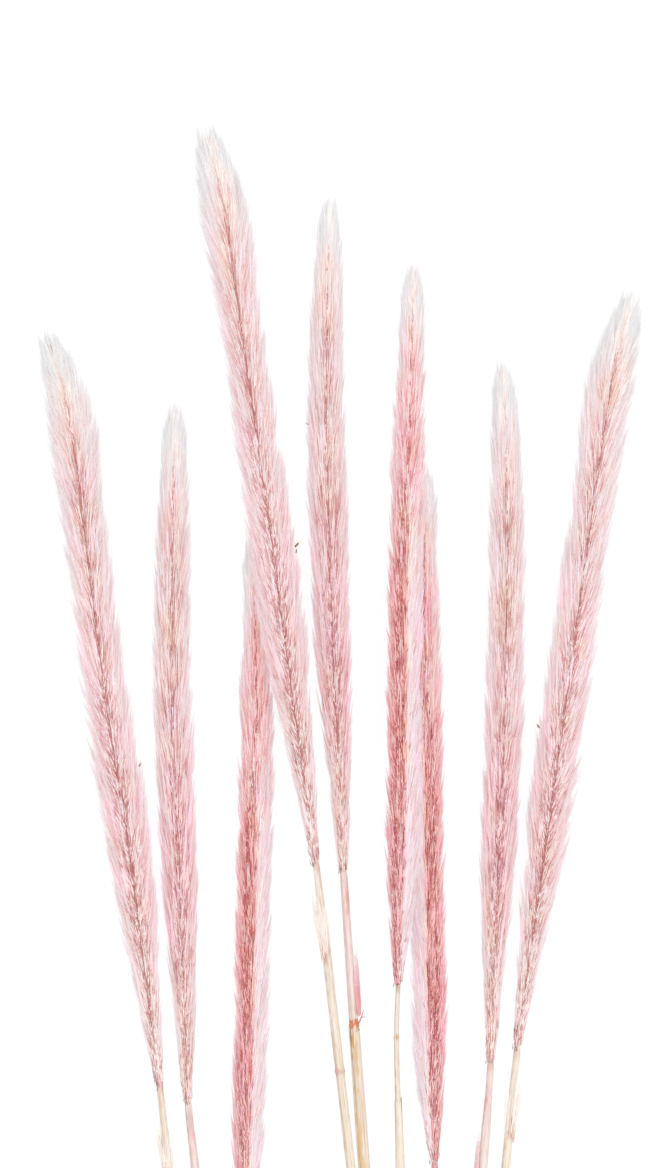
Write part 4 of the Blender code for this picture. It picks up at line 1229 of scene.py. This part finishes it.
def looseHairs(number, draw, root, length, side, spread, count, out, tone, family=1):
    # fine hairs beside a stem, on the bristles' own map
    axis, t = axes[number], np.array((0, 0.35, 0.7, 1))[None]
    y0 = root + draw.uniform(0, 0.35, count) * length
    y = blended(y0, y0 + length * draw.uniform(0.35, 0.75, count), t)
    angle = (side + draw.normal(0, spread, count))[:, None]
    angle = angle + draw.normal(0, 0.12, count)[:, None] * t
    radius = layout["stemRadius"] + 0.5 + draw.uniform(*out, count)[:, None] * t ** 1.3
    points = settled(around(axis, y, angle, radius))
    facing = outwards(axis, y, angle + draw.normal(0, 0.8, count)[:, None])
    widths = draw.uniform(0.14, 0.26, count)[:, None] * np.array((1, 1, 0.8))[None]
    level = draw.uniform(*tone, count)[:, None] + 0.15 * t
    return ribbons(points, widths, facing, paletteSpot(0 * y, level, family))


def scrapPiece(number, name, look, kind, part, hairs):
    looks = [(stainedMaterials[look], part), (bristleMaterials[kind], hairs)]
    meshPiece(f"{name}_{number}", looks, [f"scrap_{number}"])


def dressStrip(number):
    shape, axis, look = strips[number], axes[number], scrapLook
    draw = np.random.default_rng(850 + number)
    t, k = crossed(np.linspace(0, 1, look["rows"]), np.linspace(-0.5, 0.5, look["columns"]))
    swell = np.sin(math.pi * np.minimum(t / look["evenFrom"], 1))
    swell = look["least"] + (1 - look["least"]) * swell
    swell = swell * np.interp(t, (0, 0.8, 1), (1, 1, look["tip"]))
    far = layout["jointRadius"] + layout["gap"]
    ragged = draw.normal(0, 0.05, (look["rows"], 1))
    turn = shape["side"] + shape["width"] / far * (swell + ragged) * k
    y = shape["bottom"] + (shape["top"] - shape["bottom"]) * t + 0.8 * np.cos(7 * k) * (t - 0.5)
    # its upper edge clings to the stem and its lower edge stands away
    lower = 0.5 + k * np.sign(shape["side"] - math.pi / 2)
    close = layout["stemRadius"] + layout["gap"] / 2
    radius = close + (far + 0.25 - close) * lower + 0.05 * np.sin(9 * t)
    radius = radius + shape["flare"] * lower * np.sin(math.pi * (0.12 + 0.7 * t))
    part = sheet(axis, y, turn, radius, look["wall"])
    hairs = [looseHairs(number, draw, shape["top"] - 8, 14, shape["side"], 0.3, shape["hairs"],
                        (0.2, 2.4), (0.5, 0.95), 0)]
    hairs += [twig(axis, *ends) for ends in twigs.get(number, ())]
    scrapPiece(number, "tornStrip", "strip", "dense", part, hairs)


def dressScrap(number):
    shape, look = scraps[number], scrapLook
    root, reach, side = shape["root"], shape["reach"], shape["side"]
    draw = np.random.default_rng(870 + number)
    t, k = crossed(np.linspace(0, look["long"], look["rows"]),
                   np.linspace(-1, 1, look["columns"] + 4))
    turn = side + (tableAt(look["half"], t) + draw.normal(0, 0.03, (look["rows"], 1))) * k
    ragged = np.interp(k, np.linspace(-1, 1, 9), draw.uniform(-1.4, 1.4, 9))
    y = root + reach * t + ragged * (t / look["long"])
    radius = layout["stemRadius"] + layout["gap"] + 0.35 * k ** 2 * (t / look["long"])
    part = sheet(axes[number], y, turn, radius, look["wall"])
    hairs = [looseHairs(number, draw, root - 2, reach, side, 1.0, shape["hairs"], (0.1, 2.4),
                        (0.25, 0.8)),
             looseHairs(number, draw, root - 5, reach * 0.6, side, 0.6, shape["hairs"] // 5,
                        (0.0, 0.9), (0.0, 0.3))]
    scrapPiece(number, "hairyScrap", "scrap", grasses[number]["kind"], part, hairs)


for number in sheaths:
    dressSheath(number)
for number in strips:
    dressStrip(number)
for number in scraps:
    dressScrap(number)
print("sheaths and scraps made")


# The tie: five turns of two-ply twine, a knot on top and two short frayed ends.
twine = {"turns": 5, "pitch": 1.8, "plyRadius": 0.56, "plyOut": 0.46, "twist": 5.2, "step": 0.75,
         "sides": 8, "knotAt": (0.3, 0.2, 0.5), "knotSize": (0.688, 0.576, 0.76),
         "tailLength": 17.0, "tailWay": (0.62, 0.17, 0.06), "tailLeans": 0.5, "tailDrops": 0.32,
         "fray": 26, "frayLength": 4.5, "frayWide": 0.28, "fuzz": 420, "fuzzFrom": 0.75,
         "fuzzTo": 0.9, "fibre": 0.09, "roughness": 0.95, "bump": 0.5}
juteTones = ((132, 98, 62), (186, 150, 106), (216, 188, 146))


def makeJute():
    made, tree, shader = newMaterial("juteTwine", twine["roughness"])
    u, v = mapPlace(tree)
    streak, blotch = grained(tree, u, times(tree, v, 6.0), 1.0, 3.5)
    colour = threeTones(tree, streak, juteTones)
    faded = ranged(tree, blotch, 0.5, 0.7, (0.0, 0.6))
    tree.links.new(mixed(tree, faded, colour, linear(224, 202, 166)), shader.inputs["Base Color"])
    addBump(tree, shader, streak, twine["bump"])
    return made


juteMaterial = makeJute()


def evenly(points, step):
    # the same path with evenly spaced points
    far = np.concatenate(([0], np.cumsum(np.linalg.norm(np.diff(points, axis=0), axis=1))))
    at = np.linspace(0, far[-1], max(int(far[-1] / step), 4))
    return np.stack([np.interp(at, far, points[:, k]) for k in range(3)], axis=-1)


def framesAlong(path):
    along = unit(np.gradient(path, axis=0))
    side = np.cross(along[0], (0.0, 1.0, 0.3))
    sides = []
    for way in along:
        side = side - way * np.dot(side, way)
        side = side / np.linalg.norm(side)
        sides.append(side)
    sides = np.array(sides)
    return along, sides, np.cross(along, sides)


def plies(path, v0=0.0, v1=1.0, loosen=0.0, phase=0.0):
    # two plies twisted round each other along a path, a little apart at its loose end
    path = evenly(path, twine["step"])
    _, side, up = framesAlong(path)
    far = np.arange(len(path)) * twine["step"]
    apart = (twine["plyOut"] * (1 + loosen * eased(far / far[-1] * 2 - 1)))[:, None]
    turn = np.linspace(0, 2 * math.pi, twine["sides"], endpoint=False)[None, :, None]
    parts = []
    for ply in (0, math.pi):
        twist = (2 * math.pi * far / twine["twist"] + ply + phase)[:, None]
        middle = path + (side * np.cos(twist) + up * np.sin(twist)) * apart
        _, a, b = framesAlong(middle)
        ring = (a[:, None] * np.cos(turn) + b[:, None] * np.sin(turn)) * twine["plyRadius"]
        parts.append(skin(onFloor(middle[:, None] + ring), v0, v1))
    return parts


def onFloor(points):
    points[..., 2] = np.maximum(points[..., 2], layout["twineLowest"])
    return points


def roundTheStems(offset):
    # the taut loop round the stems inside the tie
    slots = np.array([slotCentre(grass) for grass in grasses.values()])
    turn = np.linspace(-math.pi / 2, 1.5 * math.pi, 361)
    way = np.stack((np.cos(turn), np.sin(turn)), axis=-1)
    best = slots[np.argmax(way @ slots.T, axis=1)]
    loop = best + way * (layout["stemRadius"] + offset)
    return np.stack((loop[:, 0], 0 * turn, loop[:, 1]), axis=-1)


def dressTie():
    draw = np.random.default_rng(990)
    loop = evenly(roundTheStems(layout["gap"] + layout["twine"] / 2), 0.5)[:-1]
    topmost = int(np.argmax(loop[:, 2]))
    index = np.arange(int(twine["turns"] * len(loop))) + topmost
    coil = loop[index % len(loop)].copy()
    share = np.arange(len(index)) / len(index)
    coil[:, 1] = (share - 0.5) * (twine["turns"] - 1) * twine["pitch"]
    parts = plies(coil)
    knotAt = np.array(twine["knotAt"]) + (0, 0, loop[topmost, 2] + layout["twine"] / 2)
    t = np.linspace(0, 2 * math.pi, 90)
    knot = np.stack((np.cos(t) + 2 * np.cos(2 * t), np.sin(t) - 2 * np.sin(2 * t), -np.sin(3 * t)),
                    -1)
    parts += plies(knotAt + knot * np.array(twine["knotSize"]), phase=0.7)
    t = np.linspace(0, 1, 40)[:, None]
    out, ahead, rise = twine["tailWay"]
    tails = []
    for side in (-1, 1):
        level = np.array((side * out, side * ahead - twine["tailLeans"], rise))
        path = knotAt + (level * t - skyward * twine["tailDrops"] * t * t) * twine["tailLength"]
        parts += plies(path, 0.0, 0.25, loosen=0.5)
        tails.append((path[-2], unit(path[-1] - path[-3])))
    fuzz, fray = (twine["fuzz"], 3), (twine["fray"], 3)
    onCoil = coil[draw.integers(0, len(coil) - 1, twine["fuzz"])]
    way = unit(draw.normal(0, 1, fuzz))
    starts = [onCoil + way * twine["fuzzFrom"]]
    ends = [onCoil + way * twine["fuzzTo"] + draw.normal(0, 1.0, fuzz)]
    for tail, way in tails:
        start = tail + draw.normal(0, 0.35, fray)
        spread = way + draw.normal(0, twine["frayWide"], fray)
        starts.append(start)
        ends.append(start + spread * twine["frayLength"] * draw.uniform(0.5, 1.1, (fray[0], 1)))
    starts, ends = np.vstack(starts), np.vstack(ends)
    t = np.array((0, 0.5, 1))[None, :, None]
    bend = draw.normal(0, 0.25, (len(starts), 1, 3))
    points = onFloor(starts[:, None] + (ends - starts)[:, None] * t + bend * np.sin(math.pi * t))
    facing = np.broadcast_to(np.array((0.0, 0.2, 1.0)), points.shape)
    spots = np.stack(np.broadcast_arrays(draw.uniform(0.1, 0.9, (len(starts), 1)),
                                         0.3 + 0.02 * t[..., 0]), axis=-1)
    parts.append(ribbons(points, np.full((len(starts), 2), twine["fibre"]), facing, spots))
    return meshPiece("twineTie", [(juteMaterial, parts)], ["tie"])


tiePiece = dressTie()
print("tie made, triangles:", len(tiePiece.data.polygons))


# The white table, the light and the camera over the photograph's middle.
studio = {"floorSize": 40.0, "floorColour": (0.93, 0.93, 0.93, 1.0), "floorRoughness": 0.9,
          "floorSeen": (0.12, 0.12, 0.12, 1.0), "floorGlow": 0.90, "skyStrength": 0.92,
          "lampEnergy": 22.0, "lampSize": 2.4, "lampAt": (0.7, 0.6, 2.6), "lampTo": (0, 0.25, 0)}


def makeFloor():
    # for the camera the table is nearly as bright in the plumes' shade as in the open
    mesh = bpy.data.meshes.new("table")
    half = studio["floorSize"] / 2
    mesh.from_pydata([(-half, -half, 0), (half, -half, 0), (half, half, 0), (-half, half, 0)], [],
                     [(0, 1, 2, 3)])
    made, tree, shader = newMaterial("whiteTable", studio["floorRoughness"])
    shader.inputs["Specular IOR Level"].default_value = 0.0
    shader.inputs["Emission Color"].default_value = (1, 1, 1, 1)
    seen = node(tree, "LightPath", ())["Is Camera Ray"]
    base = mixed(tree, seen, studio["floorColour"], studio["floorSeen"])
    tree.links.new(base, shader.inputs["Base Color"])
    tree.links.new(times(tree, seen, studio["floorGlow"]), shader.inputs["Emission Strength"])
    mesh.materials.append(made)
    floor = newObject("table", mesh)


def makeLight():
    world = bpy.data.worlds.new("studio")
    world.use_nodes = True
    back = world.node_tree.nodes["Background"]
    back.inputs[0].default_value = (1, 1, 1, 1)
    back.inputs[1].default_value = studio["skyStrength"]
    bpy.context.scene.world = world
    lamp = bpy.data.lights.new("softbox", "AREA")
    lamp.energy, lamp.size = studio["lampEnergy"], studio["lampSize"]
    holder = newObject("softbox", lamp)
    holder.location = studio["lampAt"]
    aim = Vector(studio["lampTo"]) - holder.location
    holder.rotation_euler = aim.to_track_quat("-Z", "Y").to_euler()
    bpy.context.scene.view_settings.view_transform = "Standard"


# The camera's middle is in millimetres from the tie, the rest is in metres.
view = {"middle": (-10.75, 672.0), "tall": 0.584, "height": 3.0, "focus": 0.008}


def makeCamera():
    lens = bpy.data.cameras.new("camera")
    lens.sensor_width = 36
    lens.lens = lens.sensor_width * (view["height"] - view["focus"]) / view["tall"]
    camera = newObject("camera", lens)
    x, y = ((view["middle"][k] + layout["tieAt"][k]) * layout["metres"] for k in range(2))
    camera.location = (x, y, view["height"])
    bpy.context.scene.camera = camera


makeFloor()
makeLight()
makeCamera()
print("studio made")
